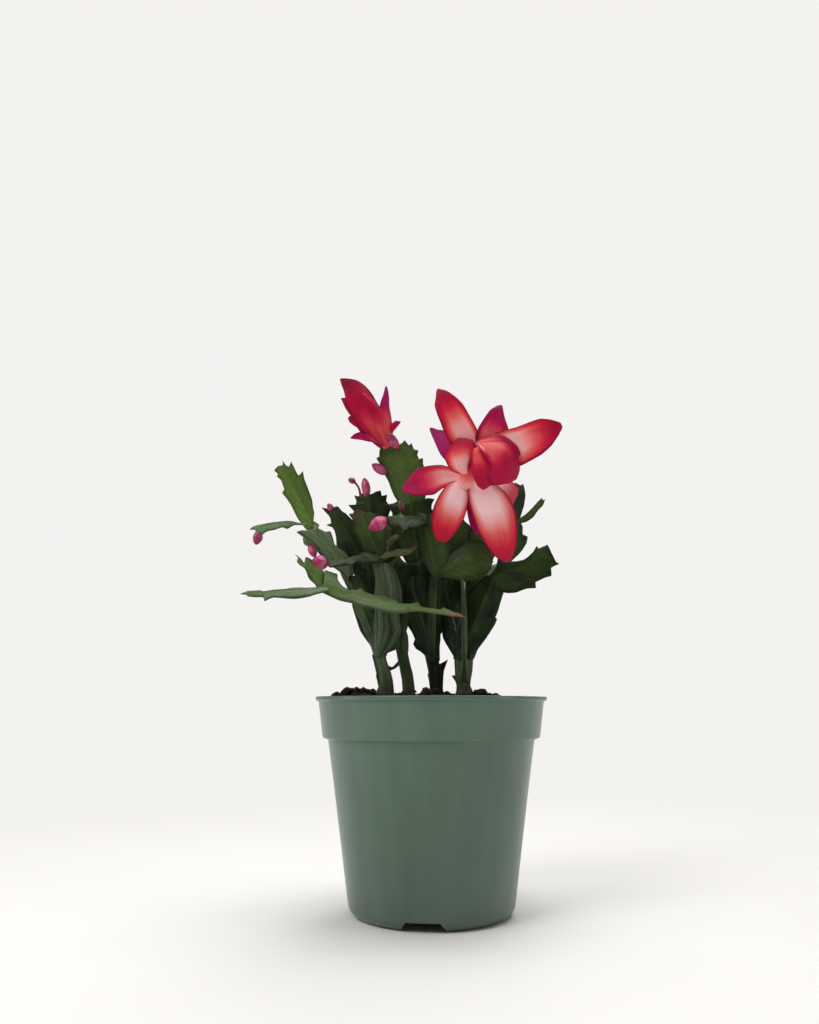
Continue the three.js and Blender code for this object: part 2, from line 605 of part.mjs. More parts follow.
// Bits of bark and peat that stand out of the soil, clear of the stems and of the pot's wall
function barkBits() {
  const roll = dice(41);
  const roots = Object.values(STEMS).map(({ root }) => root.at);
  const bits = [];
  while (bits.length < SOIL.bits) {
    const heaped = bits.length < 10;
    const turn = roll() * Math.PI * 2;
    const reach = heaped ? 9 * Math.sqrt(roll()) : 42 * Math.sqrt(roll());
    const x = (heaped ? -31 : 0) + reach * Math.cos(turn) * (heaped ? 1.1 : 1);
    const y = (heaped ? -5 : 0) + reach * Math.sin(turn) * (heaped ? 1.8 : 1);
    const size = 1.5 + 1.7 * roll();
    const shape = [0.7 + 0.9 * roll(), 0.6 + 0.5 * roll(), 0.55 + 0.4 * roll()];
    const turns = [roll() * 1.2, roll() * 1.2, roll() * 6];
    const clear = roots.every((at) => Math.hypot(at[0] - x, at[1] - y) > 6.5 + size);
    if (!clear || Math.hypot(x, y) > 43.5) continue;
    const bit = new THREE.IcosahedronGeometry(size, 0);
    bit.scale(...shape);
    bit.rotateX(turns[0]).rotateY(turns[1]).rotateZ(turns[2]);
    bit.translate(x, y, soilHeight(x, y) + size * 0.25);
    bits.push(solid(bit));
  }
  return bits;
}

function soil() {
  let made = joined([soilPlug(), ...barkBits()]);
  for (const turn of channelTurns) made = made.subtract(channelRoof(turn, GAP));
  for (const { root } of Object.values(STEMS)) made = made.subtract(rootPeg(root, GAP, ROOT.top + 12));
  return made;
}

const part = new THREE.Group();
part.name = 'potted_christmas_cactus';
part.add(mesh('pot', pot(), COLOURS.pot));
part.add(mesh('soil', soil(), COLOURS.soil));
for (const [name, plan] of Object.entries(STEMS)) part.add(mesh(name, stem(plan), COLOURS.stem));

// Blooms and buds are cut clear of every stem, so each sits on its tip with the gap between them.
const clearance = joined(Object.values(STEMS).map((plan) => stem(plan, GAP)));
part.add(mesh('bloom_open', bloom(OPEN_BLOOM).subtract(clearance), COLOURS.bloom));
part.add(mesh('bloom_opening', bloom(OPENING_BLOOM).subtract(clearance), COLOURS.bloom));
for (const [name, plan] of Object.entries(BUDS)) {
  part.add(mesh(name, bud(plan).subtract(clearance), COLOURS.bud));
}
part.add(mesh('bud_stalked', stalkedBud(STALKED_BUD).subtract(clearance), COLOURS.bud));

export default part;
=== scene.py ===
# %% [markdown]
# # A potted christmas cactus
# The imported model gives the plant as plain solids: a pot, its soil, seven rooted cuttings, two blooms and
# twelve buds. They could be painted and left as they are, but a leaf-like stem shows its form by a fleshy
# middle, a thin toothed rim and a soft bend. So each solid is kept for its place, and a finer piece that
# follows its joints and sizes stands for it. The frame is loaded first, and its box is kept, because the
# fine pieces have to fill that box and not outgrow it.

# %% Load the frame
import math
import random
from functools import partial

import bpy
import numpy as np
from mathutils import Matrix, Vector, noise


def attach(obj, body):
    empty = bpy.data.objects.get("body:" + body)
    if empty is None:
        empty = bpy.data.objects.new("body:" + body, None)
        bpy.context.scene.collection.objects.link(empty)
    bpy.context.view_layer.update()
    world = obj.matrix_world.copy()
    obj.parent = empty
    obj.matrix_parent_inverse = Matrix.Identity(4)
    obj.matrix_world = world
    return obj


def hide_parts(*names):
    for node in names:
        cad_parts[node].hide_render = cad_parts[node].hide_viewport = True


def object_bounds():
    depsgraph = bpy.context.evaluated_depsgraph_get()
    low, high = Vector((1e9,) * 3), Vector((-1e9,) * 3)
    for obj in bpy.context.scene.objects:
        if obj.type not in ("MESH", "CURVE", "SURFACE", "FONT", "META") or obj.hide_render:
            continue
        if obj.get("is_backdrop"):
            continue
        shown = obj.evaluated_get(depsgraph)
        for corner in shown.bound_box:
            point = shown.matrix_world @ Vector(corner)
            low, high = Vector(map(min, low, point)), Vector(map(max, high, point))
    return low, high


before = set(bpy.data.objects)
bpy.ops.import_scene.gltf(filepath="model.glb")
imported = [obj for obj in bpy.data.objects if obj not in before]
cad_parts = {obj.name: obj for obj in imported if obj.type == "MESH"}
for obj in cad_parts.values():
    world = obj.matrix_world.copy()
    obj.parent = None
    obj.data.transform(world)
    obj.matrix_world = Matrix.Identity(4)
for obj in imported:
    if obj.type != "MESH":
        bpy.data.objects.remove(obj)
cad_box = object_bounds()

MM = 0.001
print("nodes in the frame:", len(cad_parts))

# %% [markdown]
# # The camera
# The plant is seen from a little below the pot's rim, and the view looks up by 7 degrees. The pot's two
# ellipses give that: the rim is seen almost edge on, and the base curves down. A wide lens close by gives
# the pot's taper the right strength. The view is shifted up, so that the plant sits low in the frame.

# %% Camera
IMAGE_HEIGHT, OPTICAL_AXIS_PX = 1024, 600
CAMERA_PLACE = Vector((-9.8, -394, 91.8)) * MM
LOOK_UP = math.radians(7)
LENS, SENSOR, NEAREST = 30, 36, 0.01

bpy.ops.object.camera_add(location=CAMERA_PLACE, rotation=(math.pi / 2 + LOOK_UP, 0, 0))
camera = bpy.context.object
camera.name = "camera"
camera.data.lens, camera.data.sensor_width, camera.data.clip_start = LENS, SENSOR, NEAREST
camera.data.shift_y = (OPTICAL_AXIS_PX - IMAGE_HEIGHT / 2) / IMAGE_HEIGHT
bpy.context.scene.camera = camera
print("camera distance in mm:", round(CAMERA_PLACE.length / MM))

# %% [markdown]
# # Colours and nodes
# Colours are written as the hex values that a painter's palette shows, and one function turns them to the
# linear light that the shaders mix. One more function adds a shader node with its settings and links, so
# that each material below reads as a list of its layers.

# %% Colour and node helpers
def linear(hex_value):
    """The linear RGBA of an sRGB colour such as '#5c7163'."""
    parts = [int(hex_value[i:i + 2], 16) / 255 for i in (1, 3, 5)]
    return tuple(c / 12.92 if c <= 0.04045 else ((c + 0.055) / 1.055) ** 2.4 for c in parts) + (1.0,)


def plug(node, links):
    """Feeds a node's inputs, each with a number, a socket, or a node, whose first output in use is taken."""
    for socket, value in links.items():
        if isinstance(value, bpy.types.Node):
            value = next(output for output in value.outputs if output.enabled)
        if isinstance(value, bpy.types.NodeSocket):
            node.id_data.links.new(value, node.inputs[socket])
        else:
            node.inputs[socket].default_value = value


def add_node(tree, kind, links=(), stops=(), **settings):
    """Adds a shader node with its settings, its links and, on a colour ramp, its stops."""
    made = tree.nodes.new("ShaderNode" + kind)
    for name, value in settings.items():
        setattr(made, name, value)
    for place, (share, colour) in enumerate(stops):
        band = made.color_ramp.elements
        stop = band[place] if place < 2 else band.new(share)
        stop.position, stop.color = share, linear(colour)
    plug(made, dict(links))
    return made


def new_material(name, **shader):
    """A material, what adds a node to it, and its Principled shader with the given numbers on its sockets."""
    made = bpy.data.materials.new(name)
    made.use_nodes = True
    surface = made.node_tree.nodes["Principled BSDF"]
    plug(surface, {socket.replace("_", " "): value for socket, value in shader.items()})
    return made, partial(add_node, made.node_tree), surface


def per_mm(spacing):
    """The scale of a pattern on Object coordinates whose features are this many millimetres apart."""
    return 1 / (spacing * MM)


# %% [markdown]
# # Floor and backdrop
# The plant stands on a plain pale floor in an evenly bright studio. The floor is a wide disc that fades
# into the backdrop's own colour away from the plant, so no horizon shows from any side. The air around gives
# less light from the front than from behind, so the plant's own shading stays.

# %% Floor and backdrop
BACKDROP = "#f4f2f0"
FLOOR_RADIUS, FADE_START, FADE_END = 6, 0.12, 0.6
SPILL_FRONT, SPILL_BEHIND = 0.05, 0.5

bpy.ops.mesh.primitive_circle_add(vertices=96, radius=FLOOR_RADIUS, fill_type="NGON", location=(0, 0, 0))
floor = bpy.context.object
floor.name = "studio_floor"
floor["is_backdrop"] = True

floor_paint, add, surface = new_material("matt_studio_floor", Roughness=0.9)
reach = add("VectorMath", {0: add("TexCoord").outputs["Object"]}, operation="LENGTH")
fade = add("MapRange", {"Value": reach, "From Min": FADE_START, "From Max": FADE_END},
           interpolation_type="SMOOTHSTEP")
glow = add("Emission", {"Color": linear(BACKDROP)})
mixed = add("MixShader", {0: fade, 1: surface, 2: glow})
plug(surface, {"Base Color": linear("#f5f3ef")})
plug(floor_paint.node_tree.nodes["Material Output"], {"Surface": mixed})
floor.data.materials.append(floor_paint)

world = bpy.data.worlds.new("pale_studio")
world.use_nodes = True
add = partial(add_node, world.node_tree)
heading = add("SeparateXYZ", {0: add("TexCoord").outputs["Generated"]}).outputs["Y"]
spill = add("MapRange", {"Value": heading, "From Min": -0.7, "From Max": 0.8, "To Min": SPILL_FRONT,
                         "To Max": SPILL_BEHIND}, interpolation_type="SMOOTHSTEP")
seen = add("LightPath").outputs["Is Camera Ray"]
strength = add("Mix", {"Factor": seen, 2: spill, 3: 1}, data_type="FLOAT")
plug(world.node_tree.nodes["Background"], {"Color": linear(BACKDROP), "Strength": strength})
bpy.context.scene.world = world
bpy.context.scene.view_settings.view_transform = "Standard"
print("floor and backdrop are", BACKDROP)

# %% [markdown]
# # Lamps
# The real plant is lit softly from above and from the left. Six area lamps stand for that: a key lamp at the
# upper left, a wide softbox above, a narrow strip on each side that draws an upright gleam on the pot, a lamp
# behind that lights the petals' rims, and a very weak one in front that opens the darkest gaps.

# %% Lamps
# Where each lamp stands, its width and height in metres, and its power in watts
LAMPS = {
    "key_upper_left": ((-0.65, -0.6, 0.9), (0.5, 0.5), 5.6),
    "softbox_above": ((0.1, 0.1, 1.2), (0.8, 0.8), 8.0),
    "strip_left": ((-0.95, -0.1, 0.25), (0.12, 0.9), 1.7),
    "strip_right": ((0.9, -0.3, 0.25), (0.1, 0.9), 1.5),
    "edge_behind": ((0.3, 0.9, 0.5), (0.6, 0.4), 2.0),
    "fill_front": ((0.08, -0.5, 0.42), (0.3, 0.3), 0.15),
}
AIM = Vector((0, 0, 0.13))

for name, (spot, (wide, high), watts) in LAMPS.items():
    turn = (AIM - Vector(spot)).to_track_quat("-Z", "Y").to_euler()
    bpy.ops.object.light_add(type="AREA", location=spot, rotation=turn)
    lamp = bpy.context.object
    lamp.name = name
    lamp.data.shape, lamp.data.energy = "RECTANGLE", watts
    lamp.data.size, lamp.data.size_y = wide, high
    print(name, watts, "W")

# %% [markdown]
# # Finish: moulded polypropylene
# A nursery pot is injection moulded in grey-green polypropylene. The mould's fine texture gives it a satin
# gloss with a very slight orange peel, and the plastic flowed upward while it set, which leaves faint
# upright streaks. Handling adds a thin film of dust low down. The colour is also painted darker toward the
# foot and lighter toward the rim, as painted shade and painted light.

# %% Pot plastic
pot_plastic, add, surface = new_material("moulded_polypropylene", IOR=1.49, Specular_IOR_Level=0.5)
place = add("TexCoord").outputs["Object"]
height = add("SeparateXYZ", {0: place}).outputs["Z"]
upright = add("Mapping", {"Vector": place, "Scale": (1, 1, 0.06)})
streaks = add("TexNoise", {"Vector": upright, "Scale": per_mm(9), "Detail": 3})
cloud = add("TexNoise", {"Vector": place, "Scale": per_mm(40), "Detail": 4})
peel = add("TexNoise", {"Vector": place, "Scale": per_mm(0.9), "Detail": 2})
tone = add("Mix", {"Factor": 0.5, 2: streaks, 3: cloud}, data_type="FLOAT")
green = add("ValToRGB", {"Fac": tone}, stops=[(0.3, "#455d4d"), (0.7, "#536d5d")])
low = add("MapRange", {"Value": height, "From Min": 0.03, "From Max": 0, "To Max": 0.35})
dust = add("Math", {0: low, 1: cloud}, operation="MULTIPLY")
dusty = add("Mix", {"Factor": dust, 6: green, 7: linear("#7d8479")}, data_type="RGBA")
# painted shade and painted light: the colour is scaled by height, darker at the foot and lighter toward the
# rim
painted_height_shading = add("MapRange", {"Value": height, "From Min": 0, "From Max": 0.095, "To Min": 0.92, "To Max": 1.12})
dusty_with_painted_shading = add("VectorMath", {0: dusty, 1: painted_height_shading}, operation="MULTIPLY")
gloss = add("MapRange", {"Value": cloud, "From Min": 0.3, "From Max": 0.7, "To Min": 0.27, "To Max": 0.35})
relief = add("Bump", {"Strength": 0.08, "Distance": 0.2 * MM, "Height": peel})
plug(surface, {"Base Color": dusty_with_painted_shading, "Roughness": gloss, "Normal": relief})
print("finish:", pot_plastic.name)

# %% [markdown]
# # Finish: damp peat and bark
# Potting mix is dark because it is damp. Peat crumbs are almost black, and bits of composted bark are a
# little redder and lighter. The colour comes from two noises, one as wide as a bit and one as fine as a
# crumb, and a strong small relief breaks every surface up, with no shine.

# %% Soil and bark finishes
def peat(name, dark, light):
    """A damp, crumbly brown between two colours."""
    made, add, surface = new_material(name, Roughness=0.93, Specular_IOR_Level=0.25)
    place = add("TexCoord").outputs["Object"]
    bits = add("TexNoise", {"Vector": place, "Scale": per_mm(3.5), "Detail": 5})
    crumbs = add("TexNoise", {"Vector": place, "Scale": per_mm(0.5), "Detail": 4})
    both = add("Mix", {"Factor": 0.45, 2: bits, 3: crumbs}, data_type="FLOAT")
    brown = add("ValToRGB", {"Fac": both}, stops=[(0.36, dark), (0.66, light)])
    relief = add("Bump", {"Strength": 0.9, "Distance": 0.5 * MM, "Height": crumbs})
    plug(surface, {"Base Color": brown, "Normal": relief})
    return made


damp_peat = peat("damp_peat", "#15100d", "#33271f")
composted_bark = peat("composted_bark", "#211815", "#4b362a")
print("finishes:", damp_peat.name, composted_bark.name)

# %% [markdown]
# # Finish: the stem segment's skin
# A segment is a flattened green stem with a waxy skin. Old ones are deep green, young ones light, and a few
# are greyed by streaks of wax. On top lie the pale woody rib along the middle, faint side veins that climb
# from the rib to the teeth, a rim painted darker, partly its own thin edge and partly painted shade along the
# outline, and a red flush on rims that stood in the sun. Each segment carries its own map, along and across
# it, so the veins follow its bend, and its own three numbers for age, wax and flush. The first two also carry
# painted light: a low age paints shade on segments deep in the plant, and a high wax paints sheen on segments
# that catch the light. Near the soil the stem has turned to cork.

# %% Segment skin
DEEP, BRIGHT, WAX_AND_SHEEN = "#0a1907", "#5f7d2e", "#74866a"
RIB, FLUSH, CORK = "#63804a", "#a0524f", "#3d3a2a"


def piece_map(add):
    """What each flat piece carries: its map, the share along it and to its side, and its three numbers."""
    span = add("UVMap", uv_map="span")
    along, beside, _ = add("SeparateXYZ", {0: span}).outputs
    centred = add("Math", {0: beside, 1: 0.5}, operation="SUBTRACT")
    across = add("Math", {0: centred}, operation="ABSOLUTE")
    looks = add("SeparateColor", {0: add("Attribute", attribute_name="looks")}).outputs
    return span, along, across, looks


stem_skin, add, surface = new_material(
    "waxy_green_stem_skin", IOR=1.42, Specular_IOR_Level=0.16, Subsurface_Weight=0.06,
    Subsurface_Scale=2 * MM)
# age and wax are partly painted light: a low age paints shade on segments deep in the plant, a high wax
# paints sheen on those that catch the light
span, along, across, (youth_and_painted_shade, wax_and_painted_sheen, blush) = piece_map(add)
place = add("TexCoord").outputs["Object"]
patches = add("TexNoise", {"Vector": place, "Scale": per_mm(13), "Detail": 2})
specks = add("TexNoise", {"Vector": place, "Scale": per_mm(0.8), "Detail": 3})
shift = add("MapRange", {"Value": patches, "From Min": 0.3, "From Max": 0.7, "To Min": -0.12, "To Max": 0.12})
# age with random patches; on shaded segments it carries painted shade
young = add("Math", {0: youth_and_painted_shade, 1: shift}, operation="ADD", use_clamp=True)
green = add("Mix", {"Factor": young, 6: linear(DEEP), 7: linear(BRIGHT)}, data_type="RGBA")
combed = add("Mapping", {"Vector": span, "Scale": (0.9, 8, 1)})
streaks = add("TexNoise", {"Vector": combed, "Scale": 1, "Detail": 3})
streak = add("MapRange", {"Value": streaks, "From Min": 0.38, "From Max": 0.66, "To Min": 0.35,
                          "To Max": 1.7})
# the wax film, which on segments that catch the light is painted sheen
wax_and_sheen_film = add("Math", {0: wax_and_painted_sheen, 1: streak}, operation="MULTIPLY", use_clamp=True)
waxed_and_sheened = add("Mix", {"Factor": wax_and_sheen_film, 6: green, 7: linear(WAX_AND_SHEEN)}, data_type="RGBA")
rib = add("MapRange", {"Value": across, "From Min": 0.07, "From Max": 0, "To Max": 0.15},
          interpolation_type="SMOOTHSTEP")
ribbed = add("Mix", {"Factor": rib, 6: waxed_and_sheened, 7: linear(RIB)}, data_type="RGBA")
climb = add("Math", {0: across, 1: -0.85, 2: along}, operation="MULTIPLY_ADD")
veins = add("TexNoise", {"W": climb, "Scale": 16, "Detail": 1}, noise_dimensions="1D")
pale = add("MapRange", {"Value": veins, "From Min": 0.35, "From Max": 0.7, "To Min": 0.9, "To Max": 1.14})
veined = add("VectorMath", {0: ribbed, 1: pale}, operation="MULTIPLY")
mottle = add("MapRange", {"Value": specks, "From Min": 0.3, "From Max": 0.7, "To Min": 0.86, "To Max": 1.14})
mottled = add("VectorMath", {0: veined, 1: mottle}, operation="MULTIPLY")
# a darker rim: partly the thin edge's own colour, partly painted shade along the outline where segments
# overlap
dark_rim_and_painted_shade = add("MapRange", {"Value": across, "From Min": 0.3, "From Max": 0.5, "To Min": 1, "To Max": 0.5},
           interpolation_type="SMOOTHSTEP")
rimmed = add("VectorMath", {0: mottled, 1: dark_rim_and_painted_shade}, operation="MULTIPLY")
rim = add("MapRange", {"Value": across, "From Min": 0.4, "From Max": 0.5, "To Max": 0.5},
          interpolation_type="SMOOTHSTEP")
tip = add("MapRange", {"Value": along, "From Min": 0.72, "From Max": 1}, interpolation_type="SMOOTHSTEP")
edge = add("Math", {0: rim, 1: tip}, operation="MAXIMUM")
flush = add("Math", {0: edge, 1: blush}, operation="MULTIPLY")
flushed = add("Mix", {"Factor": flush, 6: rimmed, 7: linear(FLUSH)}, data_type="RGBA")
height = add("SeparateXYZ", {0: place}).outputs["Z"]
foot = add("Math", {0: patches, 1: -0.022, 2: height}, operation="MULTIPLY_ADD")
woody = add("MapRange", {"Value": foot, "From Min": 0.1, "From Max": 0.082, "To Max": 0.75},
            interpolation_type="SMOOTHSTEP")
corky = add("Mix", {"Factor": woody, 6: flushed, 7: linear(CORK)}, data_type="RGBA")
gloss = add("MapRange", {"Value": specks, "From Min": 0.3, "From Max": 0.7, "To Min": 0.28, "To Max": 0.42})
bumps = add("Mix", {"Factor": 0.7, 2: specks, 3: veins}, data_type="FLOAT")
relief = add("Bump", {"Strength": 0.5, "Distance": 0.6 * MM, "Height": bumps})
plug(surface, {"Base Color": corky, "Roughness": gloss, "Normal": relief})
print("finish:", stem_skin.name)

# %% [markdown]
# # Finish: petals
# A petal is thin and satiny, and light passes through it a little. It is almost white along the middle, turns
# coral, then crimson at the rim, with fine streaks along it. Its very edge is painted darker, partly its own
# deep rim and partly painted shade along the outline. The petal's own map says how far along and across a
# point is, and each petal carries three numbers: how much of the white it lost, how magenta it is, and how
# far its tip and rims are painted darker.

# %% Petal finish
petal_skin, add, surface = new_material(
    "satin_petal", Roughness=0.45, IOR=1.38, Specular_IOR_Level=0.18, Subsurface_Weight=0.3,
    Subsurface_Scale=2 * MM, Subsurface_Radius=(1.0, 0.3, 0.3))
span, along, across, (ripeness, cool, dark) = piece_map(add)
stretched = add("Mapping", {"Vector": span, "Scale": (2.2, 24, 1)})
fibres = add("TexNoise", {"Vector": stretched, "Scale": 1, "Detail": 3})
inner = add("MapRange", {"Value": across, "From Min": 0.5, "From Max": 0.2, "To Min": 0.36},
            interpolation_type="SMOOTHSTEP")
base = add("MapRange", {"Value": along, "From Min": 0.98, "From Max": 0.26}, interpolation_type="SMOOTHSTEP")
pale = add("Math", {0: inner, 1: base}, operation="MULTIPLY")
streak = add("MapRange", {"Value": fibres, "From Min": 0.25, "From Max": 0.75, "To Min": 0.94,
                          "To Max": 1.06})
outward = add("Math", {0: streak, 1: pale}, operation="SUBTRACT")
rim = add("MapRange", {"Value": across, "From Min": 0.45, "From Max": 0.5, "To Max": 0.3})
edged = add("Math", {0: outward, 1: rim}, operation="ADD")
ripe = add("Math", {0: edged, 1: ripeness}, operation="ADD")
hue = add("ValToRGB", {"Fac": ripe}, stops=[
    (0.0, "#f9cdce"), (1.0, "#ae0c36"), (0.24, "#eea3a2"), (0.48, "#e2625f"), (0.74, "#cf2840")])
blush = add("Math", {0: ripe, 1: cool}, operation="MULTIPLY", use_clamp=True)
magenta = add("Mix", {"Factor": blush, 6: hue, 7: linear("#9c0f66")}, data_type="RGBA")
# the very edge is painted darker: partly the petal's deep rim, partly painted shade along the outline
dark_rim_and_painted_shade = add("MapRange", {"Value": across, "From Min": 0.43, "From Max": 0.5, "To Min": 1, "To Max": 0.5})
tipped = add("MapRange", {"Value": along, "From Min": 0.72, "From Max": 0.98})
sided = add("MapRange", {"Value": across, "From Min": 0.36, "From Max": 0.5, "To Max": 0.35})
rimmed = add("Math", {0: tipped, 1: sided}, operation="MAXIMUM")
# tip and rims painted darker by the petal's third number
darker_tip_and_rim = add("Math", {0: rimmed, 1: dark}, operation="MULTIPLY")
shaded = add("Math", {0: darker_tip_and_rim, 1: -1, 2: dark_rim_and_painted_shade}, operation="MULTIPLY_ADD", use_clamp=True)
hemmed = add("VectorMath", {0: magenta, 1: shaded}, operation="MULTIPLY")
relief = add("Bump", {"Strength": 0.3, "Distance": 0.25 * MM, "Height": fibres})
plug(surface, {"Base Color": hemmed, "Normal": relief})
print("finish:", petal_skin.name)

# %% [markdown]
# # Finish: buds and bristles
# A bud is glossier and pinker than an open petal, blotched, and deeper toward its tip. Its first number says
# how brown its wrapping still is. The bristles at the notches are dry, matt and straw-coloured.

# %% Bud and bristle finishes
bud_skin, add, surface = new_material(
    "satin_bud", Roughness=0.3, IOR=1.4, Subsurface_Weight=0.15, Subsurface_Scale=1.5 * MM)
along = add("SeparateXYZ", {0: add("UVMap", uv_map="span")}).outputs["X"]
dull = add("SeparateColor", {0: add("Attribute", attribute_name="looks")}).outputs["Red"]
blotch = add("TexNoise", {"Vector": add("TexCoord").outputs["Object"], "Scale": per_mm(1.6), "Detail": 3})
growth = add("Math", {0: along, 1: 0.55}, operation="MULTIPLY")
ripe = add("Math", {0: blotch, 1: 0.7, 2: growth}, operation="MULTIPLY_ADD")
pink = add("ValToRGB", {"Fac": ripe}, stops=[
    (0.28, "#8d4658"), (0.98, "#821646"), (0.42, "#cc4a76"), (0.56, "#e06a98"), (0.76, "#ac2e66")])
hue = add("Mix", {"Factor": dull, 6: pink, 7: linear("#6b3540")}, data_type="RGBA")
relief = add("Bump", {"Strength": 0.25, "Distance": 0.2 * MM, "Height": blotch})
plug(surface, {"Base Color": hue, "Normal": relief})

bristle_hair, add, surface = new_material("dry_areole_bristle", Roughness=0.7)
plug(surface, {"Base Color": linear("#b39a72")})
print("finishes:", bud_skin.name, bristle_hair.name)

# %% [markdown]
# # The pot
# The real pot is one thin moulded wall: a tapered body, a step out to a collar, and a small lip. It could be
# spun from a section. Here a disc is extruded ring by ring, as a potter pulls a wall up, out over the lip and
# down the inside, because each ring is then a size that can be measured. The drain channels are cut last.

# %% Selecting, and a ring puller
def pick(*objects):
    """Selects these objects and nothing else. The first one is active, and with none given, none is."""
    bpy.ops.object.select_all(action="DESELECT")
    for thing in objects:
        thing.select_set(True)
    bpy.context.view_layer.objects.active = objects[0] if objects else None


def edit_all():
    """Opens the active object in Edit mode with everything selected."""
    bpy.ops.object.mode_set(mode="EDIT")
    bpy.ops.mesh.select_all(action="SELECT")


def turn_outwards():
    """Turns all faces of the open mesh outwards and leaves Edit mode."""
    bpy.ops.mesh.select_all(action="SELECT")
    bpy.ops.mesh.normals_make_consistent(inside=False)
    bpy.ops.object.mode_set(mode="OBJECT")


def pull_rings(name, section, sides):
    """A disc pulled through rings of (radius, height) in mm, and closed at its last ring."""
    radius, z = section[0]
    pick()
    bpy.ops.mesh.primitive_circle_add(vertices=sides, radius=radius * MM, fill_type="NGON",
                                      location=(0, 0, z * MM))
    made = bpy.context.object
    made.name = name
    bpy.ops.object.transform_apply(location=True)
    edit_all()
    for next_radius, next_z in section[1:]:
        bpy.ops.mesh.extrude_region_move(TRANSFORM_OT_translate={"value": (0, 0, (next_z - z) * MM)})
        share = next_radius / radius
        bpy.ops.transform.resize(value=(share, share, 1), center_override=(0, 0, next_z * MM))
        radius, z = next_radius, next_z
    turn_outwards()
    return made


print("helpers: pick, edit_all, turn_outwards, pull_rings")

# %% [markdown]
# # The pot's section
# The section starts under the base, goes up the outside to the lip and down the inside to the floor. A second
# copy of the outside, filled, is kept as the hull that the channels' roofs are trimmed to.

# %% Pot sizes and rings
POT_HEIGHT, LIP_RADIUS, LIP_HEIGHT, LIP_ROUND = 95.5, 52.5, 1.9, 0.55
COLLAR_TOP, COLLAR_FOOT, COLLAR_Z, COLLAR_ROUND = 51.4, 49.3, 77.0, 0.9
BODY_TOP, BODY_FOOT, CORNER, WALL = 46.6, 37.3, 5.5, 1.2
POT_SIDES, HULL_CENTRE = 128, 20


def body_radius(z):
    """The outer radius of the body's taper at a height, in mm."""
    return BODY_FOOT + (BODY_TOP - BODY_FOOT) * (z - CORNER) / (COLLAR_Z - CORNER)


def arc(centre, radius, start, end, steps):
    """Points on an arc in the pot's section, from one angle to another, in degrees."""
    turns = [math.radians(start + (end - start) * k / steps) for k in range(steps + 1)]
    return [(centre[0] + radius * math.cos(t), centre[1] + radius * math.sin(t)) for t in turns]


FOOT_RADIUS = body_radius(CORNER)
OUTSIDE = [
    *arc((FOOT_RADIUS - CORNER, CORNER), CORNER, -90, -6, 8),
    (body_radius(30), 30), (body_radius(55), 55),
    (BODY_TOP, COLLAR_Z - 1.6), (BODY_TOP + 0.3, COLLAR_Z - 0.7),
    *arc((COLLAR_FOOT - COLLAR_ROUND, COLLAR_Z + COLLAR_ROUND), COLLAR_ROUND, -90, 0, 4),
    (COLLAR_TOP - 0.25, POT_HEIGHT - LIP_HEIGHT - 0.5),
    *arc((LIP_RADIUS - LIP_ROUND, POT_HEIGHT - LIP_HEIGHT + 0.6), LIP_ROUND, -80, 0, 4),
    *arc((LIP_RADIUS - LIP_ROUND, POT_HEIGHT - LIP_ROUND), LIP_ROUND, 0, 90, 4),
]
INSIDE = [
    *arc((COLLAR_TOP - WALL + 0.5, POT_HEIGHT - 0.5), 0.5, 90, 180, 3),
    (COLLAR_FOOT - WALL, COLLAR_Z + 2), (BODY_TOP - WALL, COLLAR_Z + 0.6),
    (FOOT_RADIUS - WALL, CORNER), (FOOT_RADIUS - WALL - 2.4, WALL + 0.4), (FOOT_RADIUS - WALL - 4.5, WALL),
]
pot = pull_rings("nursery_pot", OUTSIDE + INSIDE, POT_SIDES)
hull = pull_rings("pot_hull", OUTSIDE + [(HULL_CENTRE, POT_HEIGHT)], POT_SIDES)
print("pot rings:", len(OUTSIDE + INSIDE))

# %% [markdown]
# # The drain channels
# Three shallow channels run in under the base from its edge, so that water can leave a pot that stands flat.
# Above each one the floor is raised by the wall's own thickness, with two round holes in it. A box with
# sloping sides is the tool for all three steps: larger, it is the raised floor, and smaller, it cuts.

# %% Channels and holes
CHANNEL_TURNS = [-97, 23, 143]
CHANNEL_IN, CHANNEL_OUT, CHANNEL_HEIGHT, CHANNEL_TOP, CHANNEL_FOOT, SKIN = 13, 60, 4.2, 14, 21.5, 1.1
HOLE_RADIUS, HOLE_DEPTH, HOLE_REACHES = 2.6, 8, (CHANNEL_IN + 6, CHANNEL_IN + 15)
EDGE_ROUND, EDGE_ANGLE, POT_SMOOTH = 0.25, math.radians(38), 32


def channel_bar(turn, spread, low, inward):
    """A bar with sloping sides under the base, as wide as the channel and this much more on each side."""
    middle = (inward + CHANNEL_OUT) / 2
    pick()
    bpy.ops.mesh.primitive_cube_add(size=1, location=(middle, 0, 0.5))
    bar = bpy.context.object
    bpy.ops.object.transform_apply(location=True)
    high = CHANNEL_HEIGHT + (spread and SKIN)
    for v in bar.data.vertices:
        top = v.co.z > 0.5
        v.co.x = inward if v.co.x < middle else CHANNEL_OUT
        v.co.y = math.copysign((CHANNEL_TOP if top else CHANNEL_FOOT) / 2 + spread, v.co.y)
        v.co.z = high if top else low
    bar.data.transform(Matrix.Rotation(math.radians(turn), 4, "Z") @ Matrix.Scale(MM, 4))
    return bar


def combine(target, tool, operation):
    """Joins or cuts a target with a tool, which is then thrown away."""
    step = target.modifiers.new(operation.lower(), "BOOLEAN")
    step.operation, step.object, step.solver = operation, tool, "EXACT"
    pick(target)
    bpy.ops.object.modifier_apply(modifier=step.name)
    bpy.data.objects.remove(tool)


def give(piece, node, smooth_angle):
    """Smooths a finished piece up to an angle in degrees and gives it to the frame."""
    pick(piece)
    bpy.ops.object.shade_smooth_by_angle(angle=math.radians(smooth_angle))
    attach(piece, "root")
    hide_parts(node)
    print(piece.name, "faces:", len(piece.data.polygons))


